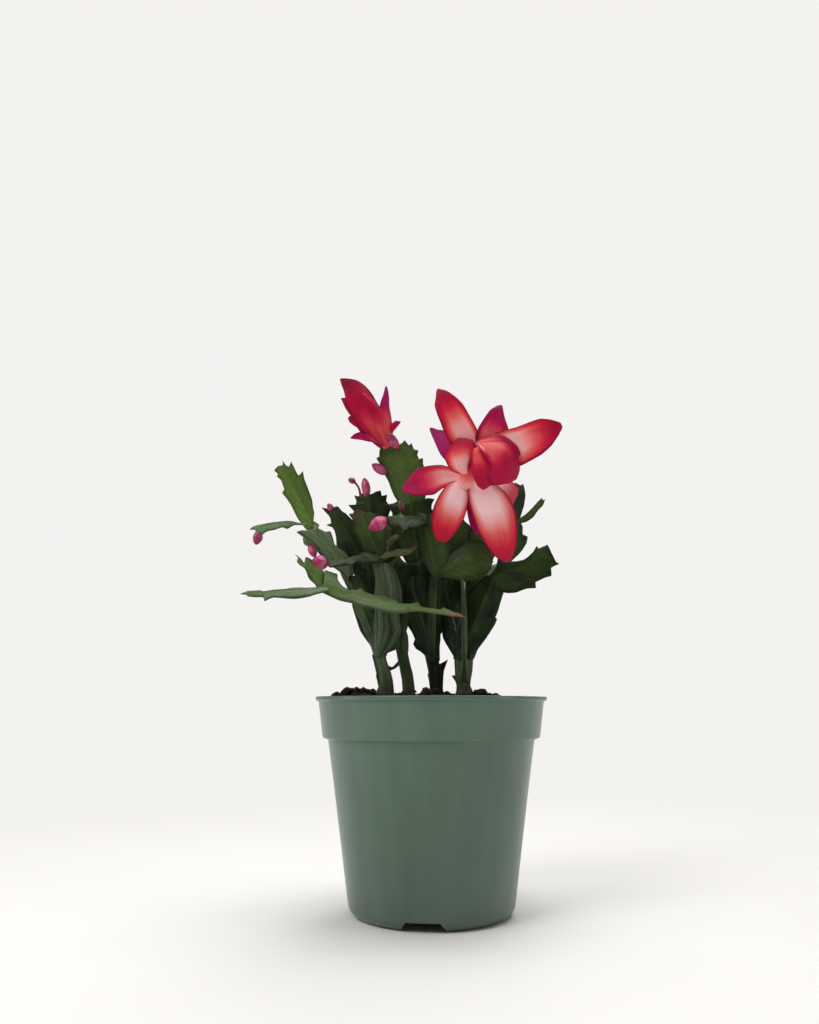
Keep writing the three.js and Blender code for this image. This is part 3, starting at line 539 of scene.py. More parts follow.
roofs = [channel_bar(turn, SKIN, 0.2, CHANNEL_IN - SKIN) for turn in CHANNEL_TURNS]
pick(*roofs)
bpy.ops.object.join()
combine(roofs[0], hull, "INTERSECT")
combine(pot, roofs[0], "UNION")
for turn in CHANNEL_TURNS:
    combine(pot, channel_bar(turn, 0, -1, CHANNEL_IN), "DIFFERENCE")
    way = math.radians(turn)
    for reach in HOLE_REACHES:
        spot = (reach * math.cos(way) * MM, reach * math.sin(way) * MM, CHANNEL_HEIGHT * MM)
        bpy.ops.mesh.primitive_cylinder_add(vertices=24, radius=HOLE_RADIUS * MM, depth=HOLE_DEPTH * MM,
                                            location=spot)
        combine(pot, bpy.context.object, "DIFFERENCE")

soften = pot.modifiers.new("soft_edges", "BEVEL")
soften.width, soften.segments = EDGE_ROUND * MM, 2
soften.limit_method, soften.angle_limit = "ANGLE", EDGE_ANGLE
pick(pot)
bpy.ops.object.modifier_apply(modifier=soften.name)
pot.data.materials.clear()
pot.data.materials.append(pot_plastic)
give(pot, "pot", POT_SMOOTH)

# %% [markdown]
# # The soil
# The potting mix fills the pot to just under the rim and was heaped a little at the left. A smooth disc would
# give it away, so its top is cut into rings by insetting, and lifted by a formula: a low crown, the heap,
# ripples, and a seeded noise for the crumbs.

# %% Soil plug
SOIL_EDGE, SOIL_CROWN, SOIL_REACH, SOIL_RINGS, SOIL_SIDES = 92.6, 3.4, 48, 15, 96
SOIL_RADIUS = COLLAR_TOP - WALL - 0.9
HEAP, HEAP_X, HEAP_Y, HEAP_SPREAD, RIPPLE = 2.4, -35, -8, 110, 0.7
SEAT = 0.35


def soil_height(x, y):
    """The soil's height in mm at a place."""
    reach = min(1.0, math.hypot(x, y) / SOIL_REACH)
    heap = HEAP * math.exp(-((x - HEAP_X) ** 2 + (y - HEAP_Y) ** 2) / HEAP_SPREAD)
    ripple = RIPPLE * (math.sin(x * 0.42 + 1.3 * math.sin(y * 0.31)) + math.cos(y * 0.5 + x * 0.17))
    crumb = 0.8 * noise.noise(Vector((x * 0.35, y * 0.35, 3))) + 0.5 * noise.noise(Vector((x, y, 9)))
    crown = SOIL_CROWN * (1 - reach * reach)
    return SOIL_EDGE + crown + heap * (1 - reach ** 16) + ripple * (1 - reach ** 6) + crumb


PLUG = [
    (FOOT_RADIUS - WALL - 3.4, WALL + SEAT + 4.2), (FOOT_RADIUS - WALL - SEAT, CORNER + 4.2),
    (BODY_TOP - WALL - SEAT, COLLAR_Z + 0.3), (COLLAR_FOOT - WALL - SEAT - 0.3, COLLAR_Z + 2.2),
    (SOIL_RADIUS, SOIL_EDGE - 0.6),
]
soil = pull_rings("potting_mix", PLUG, SOIL_SIDES)
bpy.ops.object.mode_set(mode="EDIT")
bpy.ops.mesh.select_all(action="DESELECT")
bpy.ops.mesh.select_mode(type="FACE")
bpy.ops.object.mode_set(mode="OBJECT")
for face in soil.data.polygons:
    face.select = face.normal.z > 0.9
bpy.ops.object.mode_set(mode="EDIT")
for _ in range(SOIL_RINGS):
    bpy.ops.mesh.inset(thickness=SOIL_RADIUS / (SOIL_RINGS + 1) * MM, use_even_offset=False)
bpy.ops.mesh.poke()
bpy.ops.object.mode_set(mode="OBJECT")
for v in soil.data.vertices:
    if v.co.z > (SOIL_EDGE - 0.7) * MM:
        v.co.z = soil_height(v.co.x / MM, v.co.y / MM) * MM
for finish in (damp_peat, composted_bark):
    soil.data.materials.append(finish)
print("soil faces:", len(soil.data.polygons))

# %% [markdown]
# # Bark bits and crumbs
# Real potting mix is bits of bark in a crumb of peat. A few lumps are modelled once, as icospheres with their
# points pushed about, and copied, squashed, turned and half sunk. The bits that stand at the rim in view have
# places of their own, and the rest are strewn by a seeded draw that keeps clear of the stems.

# %% Bark bits and crumbs
# Where each cutting stands in mm, and how wide and deep its foot is
ROOTS = {
    "stem_left": ((-21.3, -6), 3.9, 2.7), "stem_front": ((-10.2, -19.5), 2.7, 2.2),
    "stem_centre": ((2.4, -6), 3.5, 2.6), "stem_right": ((14.8, -10), 4.2, 2.8),
    "stem_back": ((2.8, 14), 3.6, 2.8), "stem_back_left": ((-21.4, 12), 2.9, 2.6),
    "stem_back_right": ((16.4, 13), 3.6, 2.8),
}
# Bits that stand at the rim in view, as (x, y, size) in mm
SEEN_BITS = [(-45, -8, 1.5), (-42.5, -9, 2), (-40, -6, 2.4), (-38, -11, 2.6), (-35.5, -7, 2.8),
             (-33, -12, 2.5), (-32.8, -7.5, 2.3), (-30.5, -12, 2.2), (-28, -10, 2.1), (-26.5, -6, 1.8),
             (-17, -21, 1.7), (-12.5, -17, 2), (-5.5, -19, 1.5), (-2.4, -15, 2.6), (2, -14.5, 1.8),
             (7, -14, 1.6), (9.5, -16, 1.3), (20.5, -11, 2.3), (23, -9, 2.2), (26, -8, 1.6), (30, -9, 1.3),
             (34, -6, 1.5)]
BIT_COUNT, BIT_SHAPES, BIT_REACH, ROOT_ROOM, SOIL_SMOOTH = 330, 6, 45.5, 4.4, 40
BIT_SIZE, BIT_SPREAD, BIT_RARITY, BARK_SHARE = 0.5, 1.9, 2.2, 0.4
roll = random.Random(7)


def bark_bit(variant):
    """One of a few lumps that bits are copied from."""
    pick()
    bpy.ops.mesh.primitive_ico_sphere_add(subdivisions=2, radius=1)
    bit = bpy.context.object
    for v in bit.data.vertices:
        v.co *= 1 + 0.45 * noise.noise(v.co * 1.4 + Vector((variant * 7, 0, 0)))
    for finish in (damp_peat, composted_bark):
        bit.data.materials.append(finish)
    return bit


def strew(bit, x, y, size, material_index, proud=0.12, squash=(0.35, 0.7)):
    """A copy of a bit, squashed, turned and half sunk in the soil."""
    made = bit.copy()
    made.data = bit.data.copy()
    sizes = [size * roll.uniform(0.8, 1.5), size * roll.uniform(0.6, 1), size * roll.uniform(*squash)]
    turn = Matrix.Rotation(roll.uniform(0, 6.28), 4, "Z") @ Matrix.Rotation(roll.uniform(-0.6, 0.6), 4, "X")
    place = Matrix.Translation((x, y, soil_height(x, y) + size * proud))
    made.data.transform(Matrix.Scale(MM, 4) @ place @ turn @ Matrix.Diagonal((*sizes, 1)))
    for face in made.data.polygons:
        face.material_index = material_index
    bpy.context.collection.objects.link(made)
    return made


shapes = [bark_bit(k) for k in range(BIT_SHAPES)]
strewn = [strew(shapes[k % BIT_SHAPES], x, y, size, k % 3 == 1, 0.5, (0.6, 0.9))
          for k, (x, y, size) in enumerate(SEEN_BITS)]
while len(strewn) < BIT_COUNT:
    turn, reach = roll.uniform(0, 2 * math.pi), BIT_REACH * math.sqrt(roll.random())
    x, y = reach * math.cos(turn), reach * math.sin(turn)
    size = BIT_SIZE + BIT_SPREAD * roll.random() ** BIT_RARITY
    if all(math.hypot(x - at[0], y - at[1]) > ROOT_ROOM + size for at, _, _ in ROOTS.values()):
        strewn.append(strew(shapes[len(strewn) % BIT_SHAPES], x, y, size, roll.random() < BARK_SHARE))
for shape in shapes:
    bpy.data.objects.remove(shape)
pick(soil, *strewn)
bpy.ops.object.join()
give(soil, "soil", SOIL_SMOOTH)

# %% [markdown]
# # A blank for every flat piece
# Segments and petals are all one kind of thing: a thin fleshy strip with a front, a back and a rim. A small
# strip of faces is extruded into a long flat block once. Each segment or petal then takes a copy of it, and
# its rows are moved to the outline, the bend and the thickness of that piece. The block is closed, so every
# copy is. A round blank does the same for flower tubes, buds and bristles.

# %% Flat and round blanks
FLAT_COLUMNS, FLAT_ROWS, ROUND_SIDES, ROUND_ROWS = 12, 28, 24, 14


def points_of(thing):
    """The points of an object's mesh as rows of x, y, z."""
    points = np.empty(len(thing.data.vertices) * 3)
    thing.data.vertices.foreach_get("co", points)
    return points.reshape(-1, 3)


def extruded(rows):
    """Pulls the new primitive up by one unit, row after row. Gives it and its points."""
    edit_all()
    for _ in range(rows):
        bpy.ops.mesh.extrude_region_move(TRANSFORM_OT_translate={"value": (0, 0, 1)})
    bpy.ops.object.mode_set(mode="OBJECT")
    return bpy.context.object, points_of(bpy.context.object)


def round_blank(rows, around):
    """A round bar of unit radius: its angle is the place around it, and z is the row."""
    pick()
    bpy.ops.mesh.primitive_circle_add(vertices=around, radius=1, fill_type="NGON")
    return extruded(rows)


# A flat block: its x runs across from -1 to 1, y is -1 on its back and 1 on its front, z is the row
pick()
bpy.ops.mesh.primitive_grid_add(x_subdivisions=FLAT_COLUMNS, y_subdivisions=2, size=2)
flat_bar, FLAT_GRID = extruded(FLAT_ROWS)
round_bar, ROUND_GRID = round_blank(ROUND_ROWS, ROUND_SIDES)
bristle_bar, BRISTLE_GRID = round_blank(1, 4)
print("a flat blank has", FLAT_COLUMNS, "faces across and", FLAT_ROWS, "rows")

# %% [markdown]
# # From a blank to a piece
# A copy of a blank has its points moved, and gets a map of along and across and three numbers for its looks.
# A finished piece is many such parts joined, so it is one object, with its faces turned outwards.

# %% Shaping and uniting
def shaped(blank, name, points, span, looks, material):
    """A copy of a blank with its points moved, its map of along and across, and its three numbers."""
    made = blank.copy()
    made.data = mesh = blank.data.copy()
    made.name = mesh.name = name
    bpy.context.collection.objects.link(made)
    mesh.vertices.foreach_set("co", (points * MM).ravel())
    corner_points = np.empty(len(mesh.loops), dtype=np.int32)
    mesh.loops.foreach_get("vertex_index", corner_points)
    while mesh.uv_layers:
        mesh.uv_layers.remove(mesh.uv_layers[0])
    layer = mesh.uv_layers.new(name="span")
    layer.data.foreach_set("uv", span[corner_points].astype(np.float32).ravel())
    shade = mesh.color_attributes.new(name="looks", type="FLOAT_COLOR", domain="POINT")
    shade.data.foreach_set("color", np.tile([*looks, 1.0], len(mesh.vertices)).astype(np.float32))
    mesh.materials.clear()
    mesh.materials.append(material)
    mesh.update()
    return made


def united(parts, name, node, smooth_angle):
    """Joins parts into one piece, turns its faces outwards and gives it to the frame."""
    pick(*parts)
    bpy.ops.object.join()
    parts[0].name = name
    bpy.ops.object.mode_set(mode="EDIT")
    turn_outwards()
    give(parts[0], node, smooth_angle)


def distances(points):
    """How far each point of a line is from its start, measured along the line."""
    return np.cumsum(np.concatenate([[0], np.linalg.norm(np.diff(points, axis=0), axis=1)]))


def curve_through(points, marks, rows, tension):
    """Rows on a curve through points at the given rows. A tension of 0 is smooth, 1 is straight."""
    padded = np.vstack([2 * points[0] - points[1], points, 2 * points[-1] - points[-2]])
    out = []
    for spot in range(rows + 1):
        k = int(np.clip(np.searchsorted(marks, spot, side="right") - 1, 0, len(marks) - 2))
        t = (spot - marks[k]) / (marks[k + 1] - marks[k])
        a, b, c, d = padded[k:k + 4]
        smooth = 0.5 * (2 * b + (c - a) * t + (2 * a - 5 * b + 4 * c - d) * t ** 2
                        + (3 * b - a - 3 * c + d) * t ** 3)
        out.append(smooth * (1 - tension) + (b + (c - b) * t) * tension)
    return np.array(out)


def basis(start, end, face):
    """The start, length and three directions of a piece: along it, across it and out of its face."""
    start, end, out = (np.array(v, float) for v in (start, end, face))
    length = np.linalg.norm(end - start)
    along = (end - start) / length
    out -= along * out.dot(along)
    out /= np.linalg.norm(out)
    return start, length, along, np.cross(along, out), out


print("helpers: shaped, united, distances, curve_through, basis")

# %% [markdown]
# # Rims
# A piece's two rims are written as points in millimetres, along the piece and to its side. A curve is led
# through them, so that a tooth keeps its point and a swell its roundness. A piece that nobody sees closely
# has a width only, and takes the outline of its kind, a little different on each side.

# %% Rims
# One rim of each kind, as shares of a piece's length and of its half width
OUTLINES = {
    "stalk": [(0, 0.95), (0.3, 0.95), (0.45, 1.1), (0.5, 0.92), (0.8, 1.0), (1, 1.1)],
    "rounded": [(0, 0.45), (0.15, 0.7), (0.35, 0.98), (0.52, 1.02), (0.56, 0.94), (0.76, 0.92), (0.8, 0.82),
                (1, 0.45)],
    "toothed": [(0, 0.25), (0.15, 0.5), (0.33, 0.84), (0.55, 1.06), (0.54, 0.88), (0.68, 0.94), (0.83, 1.04),
                (0.82, 0.84), (0.95, 0.8), (1.07, 0.7), (0.98, 0.45)],
    "petal": [(0, 0.45), (0.2, 0.78), (0.45, 1), (0.65, 0.95), (0.82, 0.7), (0.93, 0.4), (1, 0.08)],
}
RIM_TENSION, PETAL_TIP = 0.55, 0.15


def rim_rows(points):
    """A rim's points spread over the rows by their distance. Each written point keeps a row of its own."""
    points = np.array(points, float)
    marks = distances(points)
    marks = np.rint(marks / marks[-1] * FLAT_ROWS)
    for k in range(1, len(marks)):
        marks[k] = max(marks[k], marks[k - 1] + 1)
    marks[-1] = FLAT_ROWS
    for k in range(len(marks) - 2, 0, -1):
        marks[k] = min(marks[k], marks[k + 1] - 1)
    return curve_through(points, marks, FLAT_ROWS, RIM_TENSION)


def outline_rims(kind, length, width, luck):
    """Two rims of a kind that differ a little, as real ones do."""
    rims = []
    for side in (1, -1):
        shift = luck.uniform(-0.03, 0.03)
        rims.append([((share + shift * math.sin(share * math.pi)) * length,
                      side * half * width / 2 * luck.uniform(0.95, 1.05)) for share, half in OUTLINES[kind]])
    return rims


print("outlines:", *OUTLINES)

# %% [markdown]
# # Laying a flat piece
# A piece is laid between its two joints. Between its rims lies a fleshy body with a rib along the middle,
# thick at a stalk, thin at a petal. The whole piece may arch, twist, cup and turn its tip back, and a wave
# and a fold of its own, drawn from its seed, keep it from lying too flat.

# %% Flat pieces
# The thickness of rim and body, the rib's height, width and end, the wave and the fold, in mm or shares
FORMS = {
    "stalk": (1.6, 4.4, 0.5, 0.22, 1.0, 0, 0),
    "rounded": (0.9, 2.4, 0.9, 0.2, 0.99, 0.3, 0.18),
    "toothed": (0.7, 1.7, 0.5, 0.12, 0.95, 0.4, 0.3),
    "young": (0.6, 1.2, 0.25, 0.16, 1.02, 0.15, 0.15),
    "petal": (0.3, 0.8, -0.22, 0.12, 0.99, 0.3, 0),
}
SPINE_MARGIN, SPINE_LAG, RIM_INSET, TIP_START, CUP_SPREAD = 0.3, 1.2, 0.985, 0.62, 60
FULL_HALF, THINNEST, STALK_END, STALK_LOSS, NECK_END = 2.4, 0.35, 0.7, 0.4, 0.3
ROUNDING, SHARE_RANGE, LAST_ROW_FLESH = 0.98, (-0.1, 1.15), 0.6


def flesh_of(kind, rim, body, reach, half, share, neck):
    """The thickness of a piece at each point: thin at the rim, full in the middle, thicker at a neck."""
    dome = np.sqrt(1 - (reach * ROUNDING) ** 2)
    flesh = rim + (body - rim) * (dome if kind == "stalk" else 1 - reach ** 2)
    flesh *= np.clip(half / FULL_HALF, THINNEST, 1)
    if kind == "stalk":
        flesh *= 1 - STALK_LOSS * np.clip((share - STALK_END) / (1 - STALK_END), 0, 1)
    collar = np.maximum(neck * dome - flesh, 0)
    return flesh + collar * np.clip(1 - share / NECK_END, 0, 1) ** 1.5


def flat_piece(name, start, end, face, rims, kind, looks, seed, bow=0, twist=0, cup=0, recurve=0, neck=0,
               sink=0):
    """One segment or petal. rims holds its two rims, or one width to use with the kind's own outline."""
    rim_thick, body_thick, rib, rib_wide, rib_end, wave, fold = FORMS[kind]
    luck = random.Random(seed)
    start, length, along, across, out = basis(start, end, face)
    if len(rims) == 1:
        rims = outline_rims(kind, length, rims[0], luck)
    if kind == "petal":
        rims = [[*rim, (length, side * PETAL_TIP)] for rim, side in zip(rims, (1, -1))]
    right, left = (rim_rows(rim) for rim in rims)
    gap = right[:, 1] - left[:, 1]
    spine_side = np.clip(0, left[:, 1] + SPINE_MARGIN * gap, right[:, 1] - SPINE_MARGIN * gap)
    middle = np.maximum.accumulate((right[:, 0] + left[:, 0]) / 2)
    spine = np.maximum(np.minimum(middle, length * rib_end), middle - SPINE_LAG)
    x, y, z = FLAT_GRID.T
    row, reach = np.rint(z).astype(int), np.abs(x)
    rim = np.where((x > 0)[:, None], right[row], left[row])
    place = spine[row] + (rim[:, 0] - spine[row]) * reach ** 1.5 - sink * np.clip(1 - row / 4, 0, 1)
    share = np.clip(place / length, *SHARE_RANGE)
    half = np.abs(gap[row]) / 2
    outer = reach > 0.99
    at_rim = outer & (np.abs(y) < 0.5)
    inset = np.where(outer & ~at_rim, RIM_INSET, 1)
    side = spine_side[row] + (rim[:, 1] - spine_side[row]) * reach * inset
    flesh = flesh_of(kind, rim_thick, body_thick, reach, half, share, neck)
    ridge = rib * np.exp(-(x / rib_wide) ** 2) * np.sin(np.pi * np.clip(share, 0.06, 0.94)) ** 0.5
    if kind == "petal":
        lift = y * flesh / 2 + ridge * np.clip(half / 4, 0, 1)
    else:
        lift = y * (flesh / 2 + ridge * np.clip(half / 3, 0, 1))
    lift = np.where(at_rim, 0, lift) * np.where(row == FLAT_ROWS, LAST_ROW_FLESH, 1)
    strength, pace, phase = luck.uniform(0.5, 1.3), luck.uniform(8, 12), luck.uniform(0, 6)
    lift = lift + wave * strength * np.sin(share * pace + phase) * x * reach
    lift = lift - fold * luck.uniform(0.2, 1) * out[1] ** 2 * half * reach ** 1.3
    turned_back = np.clip((share - TIP_START) / (1 - TIP_START), 0, 1) ** 2
    lift = lift + cup * half ** 2 / CUP_SPREAD * reach ** 1.7 - recurve * turned_back
    turn = np.radians(twist) * share
    side_way = np.cos(turn)[:, None] * across - np.sin(turn)[:, None] * out
    out_way = np.cos(turn)[:, None] * out + np.sin(turn)[:, None] * across
    rise = lift + 4 * bow * share * (1 - share)
    points = start + place[:, None] * along + side[:, None] * side_way + rise[:, None] * out_way
    span = np.stack([np.clip(share, 0, 1.1), (x + 1) / 2], axis=1)
    return shaped(flat_bar, name, points, span, looks, petal_skin if kind == "petal" else stem_skin)


print("kinds of flat piece:", *FORMS)

# %% [markdown]
# # Round pieces
# Each cutting goes down into the soil as an oval peg. It is pulled from the round blank, which is
# also what the flower tubes and the buds are pulled from, so its points are laid around a bent line.

# %% Round pieces
def round_piece(name, stations, looks, material, ribs=0, rib_depth=0.0, squash=1.0):
    """A round body along a line of [x, y, z, radius], with shallow ribs around it if wanted."""
    stations = np.array(stations, float)
    marks = distances(stations[:, :3])
    line = curve_through(stations, marks / marks[-1] * ROUND_ROWS, ROUND_ROWS, 0)
    x, y, z = ROUND_GRID.T
    row = np.rint(z).astype(int)
    angle = np.arctan2(y, x)
    way = np.gradient(line[:, :3], axis=0)
    way /= np.linalg.norm(way, axis=1)[:, None]
    side = np.cross([0.0, 0.0, 1.0], way)
    if np.linalg.norm(side, axis=1).min() < 0.15:
        side = np.cross([0.0, 1.0, 0.0], way)
    side /= np.linalg.norm(side, axis=1)[:, None]
    other = np.cross(way, side)
    spot = line[row]
    ridges = rib_depth * np.cos(ribs * angle) * np.sin(np.pi * z / ROUND_ROWS)
    radius = np.maximum(spot[:, 3], 0.05) * (1 + ridges)
    points = (spot[:, :3] + (radius * np.cos(angle))[:, None] * side[row]
              + (radius * np.sin(angle) * squash)[:, None] * other[row])
    span = np.stack([z / ROUND_ROWS, 0.5 + 0.08 * np.sin(angle)], axis=1)
    return shaped(round_bar, name, points, span, looks, material)


print("a round blank has", ROUND_SIDES, "sides and", ROUND_ROWS, "rows")

# %% [markdown]
# # Bristles
# Past each tooth, in the notch, a segment has an areole, a tiny cushion with a few dry bristles. They are
# short and fine, so a four-sided spike is enough for each one, and they are copied along all the rims.

# %% Bristles on the rims
BRISTLE_THICK, BRISTLE_TIP, BRISTLE_FACE = 0.1, 0.25, (0.3, 0.5, 0.8)
TOOTH_RISE, NOTCH_FALL, FIRST_ROW = 0.08, 0.3, 4


def bristle(foot, tip):
    """One spike from a foot to a tip."""
    x, y, z = BRISTLE_GRID.T
    start, length, along, across, out = basis(foot, tip, BRISTLE_FACE)
    radius = BRISTLE_THICK * np.where(z > 0.5, BRISTLE_TIP, 1.0)
    points = (start + (z * length)[:, None] * along + (x * radius)[:, None] * across
              + (y * radius)[:, None] * out)
    return shaped(bristle_bar, "bristle", points, np.stack([z, x * 0 + 0.5], axis=1), (0, 0, 0), bristle_hair)


def rim_bristles(piece, luck):
    """One or two spikes past each tooth of a segment's rims, leaning to the tip."""
    co = points_of(piece) / MM
    x, y, z = FLAT_GRID.T
    heart = co[(np.abs(x) < 0.01) & (y > 0.5)]
    made = []
    for edge in (-1, 1):
        rim = co[(np.abs(x - edge) < 0.01) & (np.abs(y) < 0.5)]
        width = np.linalg.norm(rim - heart, axis=1)
        for k in range(FIRST_ROW, FLAT_ROWS):
            if width[k] > width[k - 1] + TOOTH_RISE and width[k] > width[k + 1] + NOTCH_FALL:
                foot = rim[k + 1]
                away = (foot - heart[k + 1]) / max(0.2, width[k + 1])
                ahead = (rim[k] - rim[k - 1]) / max(0.2, np.linalg.norm(rim[k] - rim[k - 1]))
                for _ in range(luck.choice((1, 2))):
                    lean = away * luck.uniform(0.4, 0.9) + ahead * luck.uniform(0.3, 0.8)
                    lean += np.array([luck.uniform(-0.3, 0.3) for _ in range(3)])
                    lean *= luck.uniform(0.6, 1.1) / np.linalg.norm(lean)
                    made.append(bristle(foot - away * 0.3, foot + lean))
    return made


print("a bristle has", len(BRISTLE_GRID), "points")

# %% [markdown]
# # Growing a cutting
# Seven cuttings were rooted in this pot. Each is a chain of segments. A segment is written as the joints that
# it starts and ends at, in millimetres, the way its flat side faces, its kind, and its looks: how young, how
# waxy and how flushed it is. A low age also paints shade on segments deep in the plant, and a high wax paints
# sheen on those that catch the light. Then come its bow and twist, and a start of its own where it leaves a
# rim below the joint. Last are its right rim and its left one, tooth by tooth from foot to tip, or its width.

# %% Growing
FRONT = (0, -1, 0)
FOOT_LINE = [(80.5, 1), (92, 1), (96.5, 1), (101.5, 0.5)]
SINK, NECK, STEM_SMOOTH = 1.8, 4.2, 62
SEEDS_EACH, BRISTLE_SEED = 100, 5000


def grow(name, joints, segments):
    """Builds a cutting from its joints and segments, with its buried foot and its bristles."""
    (x, y), wide, deep = ROOTS[name]
    foot = [(x, y, z, wide * share) for z, share in FOOT_LINE]
    grown = [round_piece(f"{name}_foot", foot, segments[0][4], stem_skin, squash=deep / wide)]
    first_seed = list(ROOTS).index(name) * SEEDS_EACH
    for seed, (start, end, face, kind, looks, more, *rims) in enumerate(segments, first_seed):
        piece = flat_piece(f"{name}_{end}", more.get("from", joints[start]), joints[end], face, rims, kind,
                           looks, seed, more.get("bow", 0), more.get("twist", 0),
                           neck=NECK if start == "low" else 0, sink=SINK)
        grown.append(piece)
        if kind in ("toothed", "young"):
            grown += rim_bristles(piece, random.Random(seed + BRISTLE_SEED))
    united(grown, f"leafy_{name}", name, STEM_SMOOTH)


print("cuttings to grow:", len(ROOTS))

# %% [markdown]
# # The left cutting
# It has the most branches of all: two leaves side by side, and above them thin arms that reach out to the
# left and end in a bright young leaf, a drooping one and a hooked one. No two outlines are the same, and the
# teeth are what makes this plant itself, so every rim in view is written out.

# %% Left cutting
grow("stem_left", {
    "soil": (-21.3, -6, 98), "low": (-23.2, -6, 116), "mid": (-23.4, -9.5, 159), "wing": (-38.5, 1, 151.5),
    "fan": (-32.5, -12.5, 179), "reach": (-46, -20.5, 155.5), "young": (-6, -17, 160.5),
    "curl": (-14.5, -15, 166.5), "arm": (-54, -11, 173), "top": (-66.8, -17, 198.5),
    "droop": (-78, -25, 169.5), "hook": (-59.6, -15, 165), "twig": (-14.6, -7, 111.4),
}, [
    ("soil", "low", FRONT, "stalk", (0.45, 0.5, 0), {},
     [(-4.5, 4.5), (-1, 4.5), (4, 4.5), (8, 4), (10, 3.5), (14, 2.5), (17, 2.5), (19.5, 2.5)],
     [(-4, -2.5), (0.5, -2), (5, -1.5), (10, -1.5), (14.5, -2.5), (18, -2.5), (20.5, -3)]),
    ("low", "twig", (0.3, -0.9, 0.3), "young", (0.1, 0.2, 0), {"bow": 0.3, "from": (-19.4, -6, 107.2)},
     [(-0.5, 0), (1.5, 1), (3.5, 1.5), (6, 1.5)],
     [(-0.5, -1), (1.5, -1.5), (2.5, 0), (4, 0), (7, -0.5)]),
    ("low", "mid", (-0.1, -1, -0.05), "rounded", (0.03, 0.4, 0), {"bow": -3.2},
     [(-0.5, 3), (0.5, 3.5), (1, 7), (3.5, 10), (8.5, 12), (14, 10.5), (21, 10), (27.5, 10), (34.5, 8),
      (40, 5)],
     [(-0.5, -3), (4, -3.5), (10.5, -4), (18, -3.5), (25, -3.5), (32.5, -2.5), (36, -3), (40.5, -4)]),
    ("low", "wing", (-0.72, -0.7, 0), "toothed", (0.08, 0.02, 0), {"bow": -1.5},
     [(-1, 1), (5, 1.5), (11.5, 3.5), (21, 5.5), (29.5, 6.5), (36.5, 5.5)],
     [(-0.5, -2), (2.5, -3.5), (7.5, -4.5), (13.5, -6), (16.5, -5.5), (22.5, -6.5), (27.5, -5.5), (31.5, -6),
      (35.5, -4), (40.5, -4), (44, -3.5)]),
    ("mid", "fan", (-0.2, -1, 0.1), "toothed", (0.2, 0.06, 0.08), {"bow": 1},
     [(-0.5, 2), (3, 5), (6.5, 6.5), (8.5, 8.5), (10.5, 8), (15, 8.5), (16.5, 8), (19.5, 5)],
     [(-0.5, -2), (2, -3.5), (6.5, -5.5), (12, -5.5), (15.5, -6.5), (16.5, -6.5), (18.5, -4.5), (21, -4.5),
      (23.5, -5), (23, -3), (24.5, -1.5), (23, 1)]),
    ("mid", "reach", (0, -0.55, 0.85), "toothed", (0.14, 0.16, 0.05), {"bow": 1.5},
     [(0, 2), (3.5, 1.5), (7, 0), (8, 3), (11, -1.5), (18, -3), (21, -2), (23, -2.5), (25.5, -1), (27, -0.5)],
     [(-0.5, -2), (4, -7), (11, -9), (15.5, -8.5), (18.5, -10.5), (20, -8.5), (24.5, -7.5), (27, -7.5),
      (27.5, -4.5)]),
    ("mid", "young", (0, -0.6, 0.8), "young", (0.45, 0.2, 0.5), {"bow": 1},
     [(-0.5, 2), (3.5, 4), (8.5, 4.5), (13, 5), (16.5, 2.5), (18, -4.5)],
     [(-0.5, -1), (2, -0.5), (6.5, -1.5), (8, -3.5), (11, -2), (15, -2), (17, -5.5)]),
    ("mid", "curl", (0.2, -0.6, 0.8), "young", (0.5, 0.2, 0.6), {"bow": -1.2},
     [(-0.5, 1), (3.5, 0), (5, -5), (7.5, -6), (10.5, -4), (13, -2.5)],
     [(-0.5, -2), (2, -4.5), (4, -12), (6.5, -12.5), (10, -9.5)]),
    ("wing", "arm", (0.6, -0.55, 0.58), "toothed", (0.6, 0.95, 0), {"bow": 1.2},
     [(0, 7.5), (3, 13.5), (8, 11.5), (12, 7.5), (15.5, 5), (18.5, 8), (20.5, 10), (20.5, 7.5), (23.5, 4.5),
      (26.5, 2)],
     [(-0.5, -2), (4.5, -4), (9.5, -8.5), (14, -11), (18.5, -11.5), (24, -11.5), (28.5, -12.5), (31, -13),
      (33, -13.5), (32, -10)]),
    ("arm", "top", (0.1, -1, 0.12), "toothed", (0.85, 0.1, 0), {"bow": -1},
     [(-0.5, 0), (3, 1.5), (5, 3.5), (7, 4), (11, 5.5), (15, 6), (21, 6.5), (24.5, 7.5), (22.5, 5.5),
      (24, 4.5), (27, 4.5), (30.5, 4.5), (28, 3), (30, 1.5), (32.5, 1)],
     [(-0.5, -2), (1, -3.5), (6, -4.5), (13, -4.5), (17, -5), (19.5, -5.5), (20.5, -4), (25, -3.5),
      (27, -4.5), (28, -3.5), (30, -4.5), (31, -2)]),
    ("arm", "droop", (0, -0.8, 0.6), "toothed", (0.6, 0.7, 0), {"bow": 2.6},
     [(-0.5, 1), (4, -0.5), (10.5, 0), (15.5, 0), (22, 0.5), (26.5, 0.5), (29, 0), (30.5, -1)],
     [(-0.5, -1), (5, -2), (10.5, -2), (14.5, -4.5), (16.5, -3.5), (20.5, -5), (22, -5), (24.5, -5),
      (26.5, -6), (28.5, -3)]),
    ("arm", "hook", (-0.3, -1, -0.25), "young", (0.4, 0.9, 0), {"bow": 0.5},
     [(-0.5, 1.5), (4, -3), (6, -1), (8.5, -0.5), (10.5, -2.5)],
     [(-0.5, -2), (5, -6.5), (8, -7.5), (10, -5.5), (10.5, -4)]),
])

# %% [markdown]
# # The front cutting
# A thin stem that stands nearest to the rim. It carries two long low arms, one far out to the left and a
# narrow young one to the right. The left arm twists as it leaves the stem, so that it shows its flat side
# from above.

